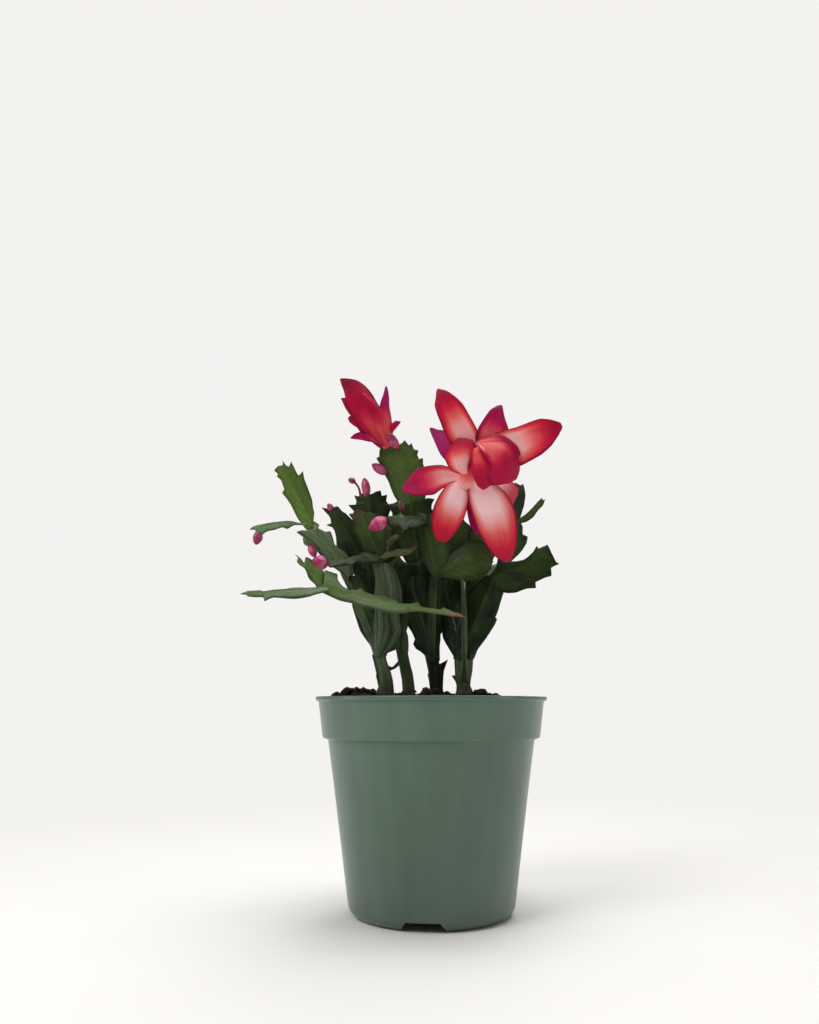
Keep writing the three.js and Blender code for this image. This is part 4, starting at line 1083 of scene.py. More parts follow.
# %% Front cutting
grow("stem_front", {
    "soil": (-10.2, -19.5, 100), "low": (-12.6, -21.5, 117), "mid": (-13.9, -25, 134.4),
    "left": (-47.4, -34, 143.4), "tip": (-79.5, -40, 138), "horn": (-57.5, -33, 155),
    "right": (12, -30, 130.4),
}, [
    ("soil", "low", (0.5, -0.85, 0), "stalk", (0.08, 0.1, 0), {"bow": -1.2},
     [(-4, 1.5), (0.5, 2.5), (5, 3), (9.5, 2.5), (13.5, 2), (17, 2)],
     [(-5.5, -3.5), (-1.5, -3), (3, -2), (8, -2), (12, -2.5), (15, -3), (18, -4)]),
    ("low", "mid", (0.9, -0.5, 0), "rounded", (0.05, 0.1, 0), {"bow": 0.6},
     [(-1, 4), (3.5, 3.5), (6.5, 2.5), (9.5, 5.5), (13, 7), (17, 7)],
     [(0, -4), (4, -2.5), (7, -1), (11, -2), (15.5, -1), (18, -0.5)]),
    ("mid", "left", (0.05, -0.4, 1), "toothed", (0.68, 0.42, 0), {"bow": -1.4, "twist": -46},
     [(-1.5, 5), (1, 3), (1, 8), (4.5, 7), (5.5, 10), (9.5, 6.5), (16, 5), (17.5, 7), (19.5, 4), (23.5, 1.5),
      (26.5, 2.5), (29, 5), (29.5, 8), (32.5, 7.5), (35.5, 7)],
     [(0, -9.5), (2.5, -9.5), (8, -7.5), (14, -6), (18.5, -6), (21, -5), (26.5, -5.5), (31, -5), (34.5, -4.5),
      (36.5, -3)]),
    ("left", "tip", (0, -0.6, 0.8), "toothed", (0.5, 0.6, 0), {"bow": 0.4, "from": (-46.6, -35.2, 140.6)},
     [(-0.5, 1), (1, 1), (3.5, 1.5), (11, 1), (20.5, 0.5), (28, 1), (31, 1), (34.5, -1)],
     [(-0.5, -2), (1.5, -3.5), (5.5, -5.5), (11.5, -6), (21, -5.5), (24.5, -8), (24, -5), (28, -3.5),
      (31.5, -2)]),
    ("left", "horn", (0.75, -0.6, 0.35), "toothed", (0.7, 0.1, 0), {"bow": 0.6, "from": (-48.4, -35, 141.6)},
     [(0, 2.5), (3.5, 7), (8, 8.5), (10.5, 5.5), (13, 5.5), (15, 3.5), (12, 0), (13.5, -0.5), (18, 0)],
     [(-1.5, -1.5), (1.5, -1.5), (6.5, -2), (9.5, -2), (11, -3), (14, -2.5)]),
    ("mid", "right", (0, -0.6, 0.8), "young", (0.7, 0.2, 0.55), {"bow": 1.2},
     [(-0.5, 2), (1, 4.5), (6, 4.5), (10, 4), (15, 4), (20, 3.5), (23, 3.5), (26.5, 2.5), (29.5, 1.5)],
     [(-1, -2), (4, -2), (7, -4), (9, 0), (14, 0.5), (18, 0.5), (18.5, -1.5), (21.5, -0.5), (24.5, -0.5)]),
])

# %% [markdown]
# # The centre cutting
# Its lower leaves are broad and rounded. The upper one on the right bears the open bloom at its tip.

# %% Centre cutting
grow("stem_centre", {
    "soil": (2.4, -6, 98), "low": (1.6, -6, 113), "mid": (2.7, -9, 150.5), "lobe": (-9.6, -1, 148),
    "fan": (-2.8, -12.5, 175), "reach": (-20, -20, 173.8), "round": (26, -18.5, 160),
    "bearer": (13.4, -16.5, 185.5),
}, [
    ("soil", "low", FRONT, "stalk", (0.02, 0.03, 0), {},
     [(-4, 3), (1, 3), (6, 3.5), (9, 4), (14, 6), (10.5, 3), (12, 2), (16, 2)],
     [(-4, -3.5), (1.5, -3), (6, -3), (10, -3), (14, -2.5), (16.5, -3)]),
    ("low", "mid", FRONT, "rounded", (0.08, 0.06, 0), {"bow": 0.5},
     [(0.5, 2.5), (8, 2), (14, 2), (20.5, 3), (27.5, 3), (33, 4), (37, 3.5)],
     [(0, -4), (8, -4), (17, -4), (26, -3.5), (33, -3.5), (37, -3)]),
    ("low", "lobe", (-0.1, -1, 0), "rounded", (0, 0.05, 0), {"bow": -1.5},
     [(0.5, 1.5), (7, 5), (18.5, 8.5), (28, 9.5), (35.5, 9.5), (39, 7.5)],
     [(-0.5, -1.5), (1.5, -3), (4, -4.5), (7, -7), (9.5, -7.5), (11.5, -6), (15.5, -6.5), (19.5, -7.5),
      (25, -6), (29.5, -4.5), (32.5, -5), (36, -3.5), (39.5, -2), (42, 0)]),
    ("mid", "fan", (-0.25, -1, 0), "toothed", (0.15, 0.05, 0), {"bow": 1.2},
     [(0, 3.5), (4.5, 7.5), (9, 9), (11.5, 11.5), (14, 9.5), (18, 10), (21, 11.5), (23, 9), (27.5, 7.5),
      (28, 5)],
     [(-0.5, -1), (1, -2.5), (7, -4.5), (12, -4.5), (15.5, -6), (17.5, -5), (22.5, -5.5), (26.5, -6.5),
      (28, -4.5), (30, -3), (28.5, 0)]),
    ("mid", "round", (0.1, -1, 0.15), "rounded", (0.17, 0.04, 0.04), {"bow": 1.2},
     [(-0.5, 1), (2, 3), (6.5, 5.5), (10, 8), (12.5, 8.5), (15.5, 9.5), (18.5, 9.5), (22, 9), (25, 7)],
     [(-0.5, -1), (2, -1), (7, -3.5), (10, -6.5), (14, -7.5), (17, -8), (20.5, -8), (24, -7), (26, -5),
      (27, -1), (27, 2.5), (26.5, 5.5)]),
    ("mid", "bearer", (0.2, -1, 0.1), "toothed", (0.18, 0.04, 0), {"bow": -1},
     [(-0.5, 2), (1, 3.5), (6.5, 7), (12, 9), (18.5, 9.5), (21.5, 8), (24.5, 5.5), (29, 4.5), (35.5, 4.5),
      (39, 3), (42, 1)],
     [(0.5, -0.5), (6.5, -2), (12, -2), (15.5, -4.5), (20, -4), (27, -5), (29.5, -7.5), (34, -5.5), (39, -4),
      (41.5, -2.5)]),
    ("fan", "reach", (0, -0.75, 0.66), "toothed", (0.12, 0.03, 0.05), {"bow": 1.6},
     [(-2.5, 4.5), (3, 1.5), (7.5, 1.5), (11, 1.5), (10, 6), (13, 2.5), (16, 2.5), (18.5, 2), (20, 1.5)],
     [(-0.5, -1.5), (0.5, -3), (6.5, -7.5), (11.5, -8.5), (14, -10.5), (15, -7), (18, -5), (19, -2)]),
])

# %% [markdown]
# # The right cutting
# A strong stem with a fin of its own at the foot. Its last leaf reaches out to the right with clear teeth,
# and a leaf behind the bloom carries a small green spur.

# %% Right cutting
grow("stem_right", {
    "soil": (14.8, -10, 98), "low": (14.2, -10, 115), "right": (28.4, -9.5, 149), "left": (6.8, 2, 146),
    "fin": (14.3, -14.6, 145), "side": (53.2, -15.5, 160.3), "back": (39.8, 3, 188.5),
    "spur": (52.6, -3, 186.4),
}, [
    ("soil", "low", FRONT, "stalk", (0.15, 0.55, 0), {},
     [(-4, 2.5), (0.5, 2.5), (4.5, 3), (9, 4), (13.5, 4.5), (16.5, 5.5)],
     [(-4, -4), (2.5, -3.5), (4.5, -4), (7, -5.5), (7, -4), (11.5, -4), (16, -4)]),
    ("low", "right", (0.1, -1, 0), "rounded", (0.05, 0.02, 0), {"bow": -1.5},
     [(-0.5, 2), (0.5, 5), (4.5, 6), (10, 7.5), (15, 8.5), (18, 9), (20.5, 9), (21, 8), (24.5, 8),
      (28.5, 7.5), (33, 7), (38.5, 5.5), (40.5, 3.5)],
     [(-2.5, -3), (3, -5), (10.5, -7), (17, -7.5), (23.5, -8), (29, -7), (32.5, -6), (37, -3.5)]),
    ("low", "left", (-0.3, -1, 0), "rounded", (0, 0.04, 0), {"bow": -1},
     [(-2.5, 3), (7.5, 5.5), (17.5, 6.5), (26.5, 7.5), (38, 9)],
     [(-0.5, -4), (5, -6), (11, -7.5), (17, -7), (22, -7.5), (24.5, -5), (30.5, -4.5), (38, -2)]),
    ("low", "fin", (1, -0.12, 0), "toothed", (0.15, 0.4, 0), {"bow": 0.4, "from": (14.4, -12, 104)}, 9),
    ("right", "side", (0.05, -1, 0.12), "toothed", (0.17, 0.02, 0), {"bow": 1.6},
     [(-3, 3), (0.5, 7), (3, 9), (6.5, 10.5), (11.5, 11), (15.5, 12.5), (15, 10.5), (16, 10), (18.5, 10),
      (21.5, 10), (24, 10.5), (23, 8.5), (24, 7.5), (27, 7)],
     [(-0.5, -1.5), (2, -3), (6.5, -5.5), (9.5, -4), (12.5, -2.5), (16, -1.5), (18.5, -2), (22, -3.5),
      (24, -5), (24, -3.5), (26, -3.5), (28.5, -3.5), (28.5, -1.5), (28.5, 1.5), (28.5, 4), (28.5, 5.5),
      (29.5, 7)]),
    ("right", "back", (0.5, -0.85, 0), "toothed", (0.12, 0.04, 0), {"bow": -2},
     [(-0.5, 2), (5, 5.5), (14, 8.5), (19, 11.5), (23, 13.5), (27.5, 15), (31, 14.5), (28, 13), (30, 11.5),
      (34, 10), (36.5, 7), (43, 6.5), (48.5, 5), (53, 2)],
     [(-0.5, -1), (2.5, 0), (10.5, 1), (18.5, 0), (21, -2.5), (27, -1.5), (34.5, -3.5), (37, -6), (42, -4.5),
      (48, -4.5), (51, -2.5)]),
    ("back", "spur", (0.2, -0.9, 0.4), "young", (0.25, 0.15, 0), {"from": (39.6, 2.6, 176)},
     [(-0.5, 1), (2.5, 1), (5.5, 2.5), (9.5, 3), (13, 2), (16.5, 1.5), (19, 0)],
     [(-0.5, -1), (4, -1), (7.5, -0.5), (12.5, -1), (16, -1.5), (18.5, -1.5)]),
])

# %% [markdown]
# # The back cutting
# The tallest one. Its crown leaf stands above all others and bears the bloom that is still opening. Its
# branches at the back are out of view, so they have a kind and a width instead of written rims.

# %% Back cutting
grow("stem_back", {
    "soil": (2.8, 14, 98), "low": (0.6, 13.5, 116), "mid": (-5.6, 8.5, 159), "waist": (-9.8, 2, 188),
    "crown": (-14.6, -3, 212.5), "rear": (10, 24, 152), "rearTop": (15, 30, 186), "side": (16, 6, 178),
}, [
    ("soil", "low", FRONT, "stalk", (0.1, 0.1, 0), {}, 5.6),
    ("low", "mid", (-0.1, -1, 0), "rounded", (0, 0.05, 0), {"bow": 1.2},
     [(-0.5, 2), (6, 3.5), (12.5, 9.5), (21.5, 13.5), (28.5, 15), (38, 14.5), (44.5, 10.5)],
     [(-0.5, -1), (7, -1), (10, -4), (14.5, -9), (24.5, -11.5), (32, -13), (40, -15), (46, -11)]),
    ("low", "rear", (0.3, 0.95, 0), "rounded", (0.15, 0.1, 0), {"bow": 1.2, "from": (-1, 13, 124)}, 16),
    ("mid", "waist", FRONT, "toothed", (0.1, 0.04, 0), {"bow": 1},
     [(-0.5, 1.5), (1, 3.5), (6, 9), (12, 12), (14.5, 15.5), (18, 12.5), (22, 13), (24.5, 10), (27, 10.5),
      (29, 12), (30, 9)],
     [(-0.5, -3), (2, -6), (8, -8.5), (14, -9.5), (17, -11), (20, -9.5), (25.5, -9), (29, -10.5), (30, -7),
      (31, -4.5)]),
    ("mid", "side", (0.2, -1, 0.2), "toothed", (0.2, 0.08, 0), {"bow": 1}, 15),
    ("waist", "crown", (0.1, -1, 0), "toothed", (0.5, 0.1, 0), {"bow": 1},
     [(-4, 4.5), (0, 8), (5.5, 10), (12.5, 10.5), (16, 10), (18.5, 10.5), (18.5, 8.5), (20.5, 8), (22.5, 9),
      (23.5, 7), (26.5, 6.5), (25.5, 5), (28.5, 3.5), (25.5, 2)],
     [(-2, -4), (3, -6.5), (7.5, -7.5), (10.5, -8), (15, -9.5), (19.5, -10.5), (22.5, -11.5), (23, -10),
      (25.5, -9.5), (27, -8.5), (27, -5.5)]),
    ("rear", "rearTop", (0.2, 0.95, 0.1), "toothed", (0.45, 0.1, 0), {"bow": -1.5},
     [(-0.5, 3), (8, 7), (18, 8), (27, 7.5), (35, 4)],
     [(-0.5, -3), (8, -4), (18, -3.5), (27, -3), (35, -2)]),
])

# %% [markdown]
# # The back left cutting
# It fills the left side behind the front leaves. Only the tips of its upper leaves are in view.

# %% Back left cutting
grow("stem_back_left", {
    "soil": (-21.4, 12, 98), "low": (-24.8, 12.5, 116), "mid": (-30, 9.5, 157), "far": (-46, 5.5, 183.5),
    "waist": (-29, 11, 170), "crown": (-29.6, 8.5, 192), "rear": (-30, 27, 146), "rearTop": (-36, 41, 168),
    "rearSide": (-14, 33, 164), "gap": (-15.5, 9.5, 177.5),
}, [
    ("soil", "low", FRONT, "stalk", (0.1, 0.1, 0), {}, 5.6),
    ("low", "mid", FRONT, "rounded", (0.03, 0.06, 0), {"bow": 1},
     [(-0.5, 2.5), (6, 6), (14, 8.5), (22, 8.5), (32, 7.5), (40.5, 4)],
     [(-0.5, -2), (4, -3), (6.5, -4.5), (11.5, -7), (16, -8), (24.5, -9.5), (33, -8.5), (40.5, -4.5)]),
    ("mid", "far", (-0.1, -1, 0.1), "toothed", (0.14, 0.05, 0), {"bow": 1.2},
     [(-0.5, 1), (2, 1.5), (6.5, 5), (12, 7), (16.5, 7), (20.5, 7.5), (23.5, 5.5), (27.5, 4.5), (29.5, 3.5),
      (32.5, 3), (31, 1.5)],
     [(-1.5, -5.5), (4.5, -9), (10, -8), (15, -8), (20, -5.5), (23, -4.5), (25, -4.5), (27.5, -6.5), (27, -4),
      (30, -3), (32.5, -3.5), (36, -4), (33, -1.5)]),
    ("mid", "waist", (0.2, -1, 0), "rounded", (0.1, 0.05, 0), {}, 14),
    ("mid", "gap", (0.2, -0.95, 0.2), "toothed", (0.06, 0.04, 0), {"bow": 0.8}, 17),
    ("waist", "crown", FRONT, "toothed", (0.08, 0.06, 0), {"bow": 0.6},
     [(-0.5, 2), (5, 5), (9, 8.5), (14, 10), (18, 12), (18, 9.5), (19.5, 8.5), (22.5, 9), (21.5, 6.5),
      (24.5, 6), (24, 3.5)],
     [(-0.5, -1), (5, -1.5), (10.5, -6), (14.5, -7), (18, -10), (17.5, -6.5), (20, -6), (22.5, -7), (22, -5),
      (23.5, -3)]),
    ("low", "rear", (-0.3, 0.95, 0.2), "rounded", (0.25, 0.1, 0), {"bow": 1.5, "from": (-26, 14.5, 126)}, 15),
    ("rear", "rearTop", (-0.1, 0.5, 0.85), "toothed", (0.6, 0.15, 0), {"bow": 2}, 13.5),
    ("rear", "rearSide", (0, 0.95, 0.3), "toothed", (0.5, 0.1, 0.2), {"bow": 1}, 12.5),
])

# %% [markdown]
# # The back right cutting
# It is hidden from the front by the open bloom, and closes the plant when it is seen from behind.

# %% Back right cutting
grow("stem_back_right", {
    "soil": (16.4, 13, 98), "low": (17.4, 14, 116), "mid": (21.5, 18, 152), "crown": (27, 15, 181),
    "rear": (31, 36, 172), "side": (37, 26, 160), "sideTop": (39.5, 21, 180),
}, [
    ("soil", "low", FRONT, "stalk", (0.15, 0.15, 0), {}, 5.4),
    ("low", "mid", (0.3, -0.95, 0), "rounded", (0.05, 0.05, 0), {"bow": -1.2}, 18),
    ("mid", "crown", (0.1, -1, 0), "toothed", (0.35, 0.1, 0), {"bow": 1}, 16),
    ("mid", "rear", (0.4, 0.6, 0.6), "toothed", (0.5, 0.12, 0), {"bow": 1.6}, 14),
    ("mid", "side", (0.1, -0.4, 0.9), "toothed", (0.4, 0.1, 0), {"bow": 1.4}, 13),
    ("side", "sideTop", (0.75, 0.6, 0.2), "toothed", (0.6, 0.1, 0.2), {"bow": 0.8}, 12),
])

# %% [markdown]
# # The open bloom
# A christmas cactus bloom has two tiers. Petals are thrown wide open at the foot of a pale tube. The tube
# leans out to a mouth, and from there more petals stand up or roll back over the tube like a hood. Every
# petal is placed by its foot and its tip, with its own two rims, so that the star has the same uneven rays as
# the real one. After the face come the arch, the cup, how far the tip turns back, and the looks.

# %% Open bloom
OPEN_TUBE = [(13.6, -17, 187, 1.7), (13.6, -20, 187.6, 2.4), (13.8, -25, 187.6, 3.4), (14.8, -31, 188.4, 3.7),
             (15.6, -36, 191.2, 3.8), (17.2, -40.5, 195, 3.8), (18.8, -45, 198.4, 2.8),
             (19.2, -46.6, 198.8, 1.2)]
OPEN_PETALS = {
    "upper_left": ((18, -38, 200), (2.5, -40, 227.5), (0.15, -1, 0.05), 2.6, 0.9, 1, (0.18, 0, 0.3),
        [(0, 2), (2.5, 4.5), (6, 5), (9, 5), (13.5, 5), (19.5, 5), (24, 4), (28.5, 2.5), (30.5, 1)],
        [(-0.5, -2), (3, -5.5), (7, -8.5), (11, -9), (15, -8.5), (20.5, -7.5), (25, -6), (28.5, -3),
         (30.5, -1.5)]),
    "upper": ((21, -38, 201), (30, -36, 221.5), (0.15, -1, 0.05), 2, 0.8, 0.5, (0.42, 0.42, 0.5),
        [(0, 2.5), (4.5, 7), (9.5, 8.5), (13.5, 6.5), (16, 4.5), (19, 2.5), (22, 1)],
        [(-0.5, -1.5), (3, -4.5), (7, -5), (11.5, -4.5), (17, -3.5), (21, -1.5)]),
    "right": ((22, -39, 199), (55, -43, 210.5), (0.25, -1, 0.1), 3, 0.9, 1.2, (0.02, 0, 0.2),
        [(0, 2.5), (3.5, 8), (8.5, 11.5), (13, 12), (17, 11.5), (22, 10.5), (27.5, 8), (32, 4.5), (35, 1.5)],
        [(0, -2.5), (5.5, -5.5), (11.5, -5), (16, -4.5), (21.5, -4.5), (27, -4.5), (31.5, -3), (35, -1)]),
    "left": ((14, -27, 191), (-13, -33, 185), (-0.1, -1, 0.25), 2.6, 0.8, 0.8, (0.18, 0.3, 0.2),
        [(0, 2), (4.5, 5.5), (9, 7), (14.5, 7), (20.5, 6.5), (24.5, 4), (27.5, 1.5)],
        [(-0.5, -1), (1, -2), (7.5, -3.5), (12.5, -5.5), (16.5, -7.5), (20.5, -7), (25, -5), (28, -2)]),
    "lower_left": ((14, -28, 189.5), (4.5, -36, 161), (0.15, -1, 0.05), 3, 0.9, 1, (-0.12, 0, 0.15),
        [(-1.5, 2), (3.5, 5.5), (9, 7.5), (13.5, 8.5), (19, 9), (25, 8), (28.5, 6), (31, 3.5), (31.5, 1.5)],
        [(-0.5, -2), (4, -3), (9.5, -4.5), (16, -5), (21, -5), (25, -4), (29.5, -2.5), (31, -1)]),
    "lower_right": ((18, -29, 189.5), (32, -36, 152.5), (0.15, -1, 0.05), 3.4, 0.9, 1.2, (-0.17, 0.03, 0.15),
        [(0, 2.5), (4.5, 4.5), (12, 7), (18.5, 8), (25, 8.5), (31.5, 7), (36.5, 5), (39.5, 2)],
        [(-1, -3), (2.5, -6.5), (7, -8.5), (11, -10), (15.5, -10.5), (21, -10.5), (27, -9), (32.5, -7),
         (36.5, -5), (39.5, -2.5)]),
    # this petal lies in shade under the mouth; its low first number makes it paler, which paints light on it
    "right_low": ((17.5, -28, 189), (36, -32, 180), (0.35, -1, -0.1), 1.6, 0.6, 0.3, (-0.5, 0.7, 0),
        [(-0.5, 1), (1.5, 1.5), (7.5, 0.5), (13, -0.5), (16.5, 1), (19, 2), (20.5, 2.5)],
        [(-0.5, -2), (5.5, -5), (11, -5.5), (15.5, -7), (20, -5.5), (21, -2.5)]),
    "left_back": ((14.5, -34, 191), (-1, -28, 213.5), (-0.2, -1, 0), 1.6, 0.5, 0.3, (0.8, 0.65, 0.6),
        [(-0.5, 1), (1, 1.5), (6.5, 4), (15, 5.5), (22, 4.5), (24.5, 2.5), (27.5, 1)],
        [(-1, -2), (6, -3), (13.5, -3.5), (18.5, -2.5), (25, -1)]),
    "low_back": ((17, -26, 187.5), (19.5, -29, 165.5), (0, -1, -0.15), 1.4, 0.5, 0.3, (0.5, 0.6, 0),
        [(-0.5, 1), (1, 2), (8, 3), (13.5, 3), (18, 2.5), (21.5, 1)],
        [(0, -2), (6.5, -4.5), (11.5, -4.5), (17, -3.5), (21.5, -2)]),
    "mouth_left": ((14.2, -41, 189), (10.8, -43, 204.2), (-0.3, -0.95, 0.05), 4, -1.6, 0, (0.16, 0, 0.25),
        [(0, 1), (3, 2.5), (6.5, 5.5), (10, 7.5), (13, 6), (14.5, 4)],
        [(0.5, -2.5), (2.5, -5.5), (5.5, -6.5), (9, -7), (11.5, -5), (14, -2.5)]),
    "mouth_top": ((18.5, -44, 200), (35.5, -46.5, 194), (0.1, -0.92, 0.32), 2.4, 1, 0, (0.36, 0.05, 0.3),
        [(-0.5, 1.5), (2, 2.5), (8, 3.5), (13, 4), (18, 5)],
        [(-1.5, -2), (-0.5, -4.5), (3, -6.5), (7.5, -7.5), (12, -7), (16, -5.5), (18.5, -3)]),
    "mouth_right": ((19.5, -46.5, 200), (35, -45, 185.5), (0.3, -0.95, 0.1), 6.6, -3.2, 0, (0.52, 0.08, 0.15),
        [(-0.5, 1), (0.5, 2.5), (6, 6.5), (9.5, 8.5), (12.5, 10), (15, 11), (17.5, 8.5), (20, 4.5)],
        [(-0.5, -2), (1, -3.5), (4, -6), (9, -8.5), (12.5, -9), (16.5, -8), (19.5, -4.5)]),
    "mouth_low": ((18, -48, 198), (21, -45, 181), (-0.15, -1, -0.05), 5, -3, 0, (0.62, 0, 0),
        [(0, 1.5), (3.5, 2.5), (8, 3), (12, 3), (15.5, 2)],
        [(-1, -1.5), (4, -3.5), (8, -5), (12.5, -5.5), (15.5, -4.5), (17, -2)]),
    "mouth_fold": ((19, -48.5, 199.8), (22.6, -54, 191.4), (0.6, -0.6, 0.5), 0.5, -0.5, 0, (0.25, 0, 0), 4.4),
}
# The short petals folded over the mouth, around the line from its hub to its crest
HUB, CREST = Vector((19.5, -43, 198)), Vector((26, -47, 191))
FOLDED, FOLDED_WIDTH, FOLDED_CUP, FOLDED_LOOKS = 4, 8, -2, (0.42, 0.03, 0)
FOLDED_BOWS, FOLDED_ENDS, GATHER, PETAL_SMOOTH = (2.4, 3.2), (0, -2), 1.4, 75
OPEN_SEED, FOLDED_SEED, OPENING_SEED = 300, 340, 360


def petals_of(table, seed):
    """The petals of a table, each with its own rims."""
    return [flat_piece(f"petal_{name}", foot, tip, face, rims, "petal", looks, seed + k, bow, 0, cup, recurve)
            for k, (name, (foot, tip, face, bow, cup, recurve, looks, *rims)) in enumerate(table.items())]


parts = [round_piece("open_tube", OPEN_TUBE, (0.04, 0.04, 0), petal_skin)]
parts += petals_of(OPEN_PETALS, OPEN_SEED)
axis = (CREST - HUB).normalized()
sideways = Vector((0, 0, 1)).cross(axis).normalized()
for k in range(FOLDED):
    away = Matrix.Rotation(k / FOLDED * 2 * math.pi + 0.5, 3, axis) @ sideways
    foot, tip = HUB + away * GATHER, CREST + away * GATHER * 0.3 + axis * FOLDED_ENDS[k % 2]
    parts.append(flat_piece(f"core_{k}", foot, tip, away, [FOLDED_WIDTH], "petal", FOLDED_LOOKS,
                            FOLDED_SEED + k, FOLDED_BOWS[k % 2], 0, FOLDED_CUP))
united(parts, "open_bloom", "bloom_open", PETAL_SMOOTH)

# %% [markdown]
# # The opening bloom
# At the top of the tallest cutting a second bloom is still closed around its middle. Its main petals stand up
# and overlap, and small ones at its foot already turn back. Three plain petals close it behind.

# %% Opening bloom
OPENING_TUBE = [(-19.8, -3.6, 211.8, 2.2), (-21, -4, 215.4, 3), (-23.4, -5.2, 221, 4.4),
                (-27.5, -7, 227.6, 4.8), (-32, -9, 233.6, 3.4), (-35, -10.2, 238, 1.6)]
OPENING_PETALS = {
    "main": ((-22, -5.5, 213.5), (-42, -12.5, 242.5), (0.25, -1, 0.2), 3.4, -2.2, 0.3, (0.66, 0.04, 0.7),
        [(-0.5, 2), (1.5, 3.5), (8, 6.5), (12.5, 8), (16, 8.5), (18, 8.5), (21, 9), (24, 9), (26.5, 8.5),
         (29, 7.5), (31.5, 6), (34, 3)],
        [(-1, -2.5), (5, -4.5), (11, -6.5), (18, -6.5), (23, -6), (27, -4), (30, -2.5), (33, -1.5)]),
    "second": ((-23, -3.5, 213), (-42, -8.5, 234.5), (-0.2, -1, 0.1), 2.4, -1.5, 0.3, (0.8, 0.08, 0.55),
        [(-0.5, 2), (2, 3.5), (12.5, 3.5), (22, 3.5), (27, 2.5)],
        [(-0.5, -1), (0.5, -1.5), (7.5, -2), (14, -2), (18.5, -2), (21.5, -2), (24.5, -1.5), (27.5, -0.5)]),
    "third": ((-23.5, -4.5, 212.5), (-38.5, -10, 224.5), (-0.4, -1, -0.1), 1.8, -1.2, 0.3, (0.8, 0.1, 0.45),
        [(-0.5, 1.5), (1, 3), (9, 3.5), (16, 3), (19.5, 2)],
        [(-0.5, -1), (1, -1), (6, -1), (11.5, -1), (14, -0.5), (16.5, -1), (18.5, -1)]),
    "low": ((-23, -5.5, 213.5), (-37, -11.5, 214.5), (-0.1, -1, 0.3), 1.4, 0.6, 0.3, (0.62, 0.42, 0.4),
        [(-1.5, 3.5), (5, 3.5), (8.5, 4), (11, 3.5), (13.5, 2)],
        [(0, -3), (4, -1.5), (5.5, -1), (9.5, -1.5), (12.5, -1)]),
    "tall": ((-20.5, -4.5, 216.5), (-21, -3, 242.5), (0.7, -0.7, 0.1), 1.2, -1.5, 0, (0.45, 0.62, 0.25),
        [(-0.5, 1.5), (1.5, 3), (8.5, 2.5), (12.5, 2), (15.5, 1.5), (19.5, 1.5), (23, 1)],
        [(-1, -3.5), (7, -5.5), (13, -5.5), (17, -4.5), (21, -2.5)]),
    "right": ((-19.5, -4.5, 217.5), (-14, -6, 224), (0.4, -0.8, 0.4), 0.8, 0.4, 0.2, (0.8, 0.2, 0.6),
        [(0, 1.5), (3, 0.5), (5.5, 0.5), (7.5, 0.5)],
        [(-0.5, -1), (1, -2), (4, -2.5), (5.5, -2.5), (7.5, -2)]),
    "behind_left": ((-23.4, -2.2, 219.6), (-34, 0.5, 238), (-0.2, 1, 0.2), 2.6, -2, 0.5, (0.6, 0.05, 0), 12),
    "behind": ((-22, -1.4, 218.6), (-24.6, 7, 233), (0.5, 0.85, 0.2), 1.4, -1.4, 0.5, (0.62, 0.3, 0), 8),
    "behind_low": ((-22.6, -2.4, 216.8), (-30.5, 6, 221), (-0.4, 0.8, 0.5), 1.2, 0.6, 0.4,
        (0.62, 0.35, 0), 7),
}
parts = [round_piece("opening_tube", OPENING_TUBE, (0.62, 0, 0), petal_skin)]
parts += petals_of(OPENING_PETALS, OPENING_SEED)
united(parts, "opening_bloom", "bloom_opening", PETAL_SMOOTH)

# %% [markdown]
# # The buds
# A bud is a few tepals wrapped tight: a narrow foot, a full middle and a blunt tip. Five shallow ribs show
# where one tepal lies over the next. One bud at the back left stands on a thin stalk of its own.

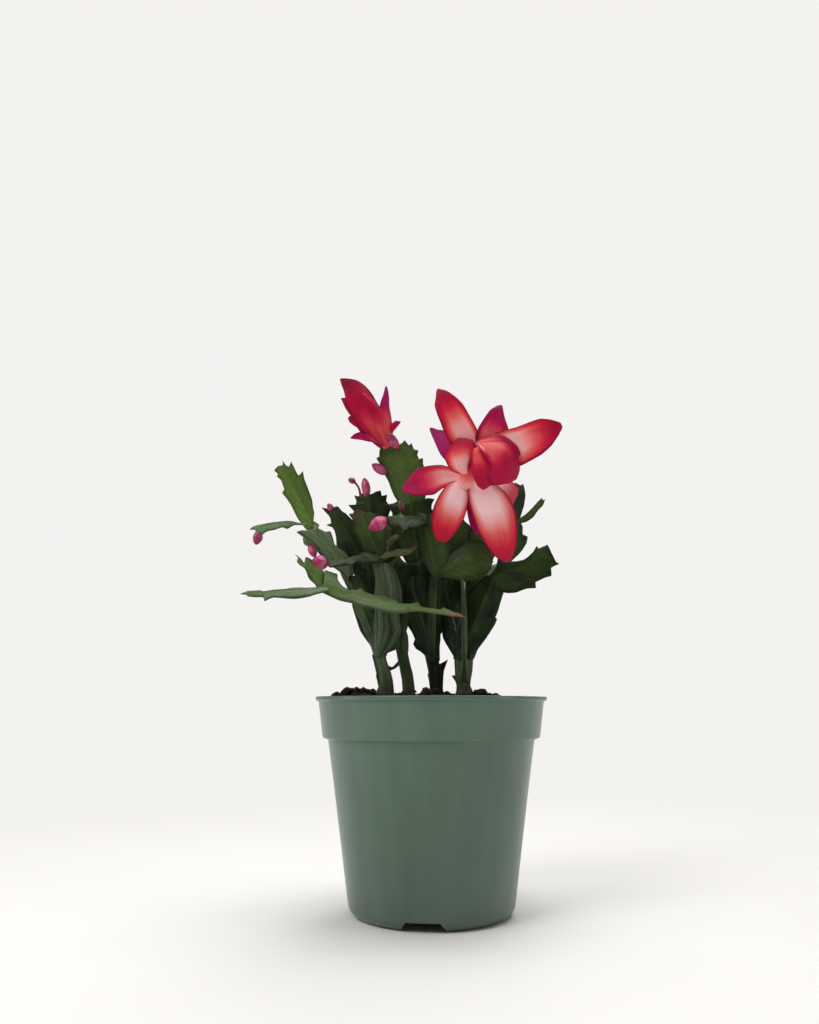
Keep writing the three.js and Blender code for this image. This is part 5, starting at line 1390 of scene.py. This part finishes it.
# %% Buds
# The base, the tip and the radius in mm, and how dull each bud is
BUDS = {
    "bud_droop": ((-75.6, -24.9, 167.9), (-77, -26.8, 161.3), 2.1, 0.6),
    "bud_hook": ((-54.4, -15.2, 163.6), (-52.2, -17, 157.4), 2, 0.3),
    "bud_reach": ((-46.6, -20.8, 153.2), (-52.4, -25, 154.6), 3.2, 0),
    "bud_far": ((-46.6, 5.5, 183.8), (-48.8, 5, 187.2), 1.5, 0.5),
    "bud_crown": ((-30.3, 8.4, 191.4), (-31.6, 8, 200.6), 2.2, 0.3),
    "bud_reach_mid": ((-20.4, -20, 174), (-27.6, -24, 168.8), 3, -0.05),
    "bud_shoulder": ((-20.9, -1.6, 200), (-27.4, -4.6, 203.8), 2.2, 0.3),
    "bud_top": ((-15.4, -4.6, 211.6), (-19.6, -10.2, 216.8), 2.3, 0.35),
    "bud_waist": ((-12.8, -13.4, 179.2), (-14.4, -14.8, 183.8), 1.3, 1),
    "bud_rear": ((30.8, 35.4, 171), (33, 42.6, 176.6), 2.3, 0.1),
    "bud_rear_left": ((-36.2, 42, 167.2), (-38.4, 47.8, 170.6), 2.3, 0.1),
    "bud_stalked": ((-36, 8.9, 198.8), (-39.4, 8.4, 200), 1.5, 0.7),
}
BUD_FORM = [(0, 0.42), (0.12, 0.7), (0.3, 0.95), (0.5, 1.0), (0.72, 0.84), (0.9, 0.5), (1.0, 0.14)]
STALK = [(-33.3, 9.2, 191.4, 0.7), (-34.4, 9, 196, 0.55), (-36.8, 8.8, 199.2, 0.6)]
BUD_RIBS, BUD_RIB_DEPTH = 5, 0.07

for node, (base, tip, radius, dull) in BUDS.items():
    base, tip = np.array(base), np.array(tip)
    line = [(*(base + (tip - base) * share), radius * wide) for share, wide in BUD_FORM]
    parts = [round_piece("bud_head", line, (dull, 0, 0), bud_skin, BUD_RIBS, BUD_RIB_DEPTH)]
    if node == "bud_stalked":
        parts.insert(0, round_piece("thread", STALK, (0.8, 0, 0), bud_skin))
    united(parts, f"closed_{node}", node, PETAL_SMOOTH)

# %% [markdown]
# # Clearing up and measuring
# The blanks have done their work and are thrown away. The boxes of the plain solids and of the finished plant
# are written side by side, so that they can be compared.

# %% Remove the blanks and write the sizes
for blank in (flat_bar, round_bar, bristle_bar):
    bpy.data.objects.remove(blank)
new_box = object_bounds()
for axis, *ends in zip("xyz", *cad_box, *new_box):
    print(axis, "of the solids, then of the plant, in mm:", *(round(end / MM, 1) for end in ends))
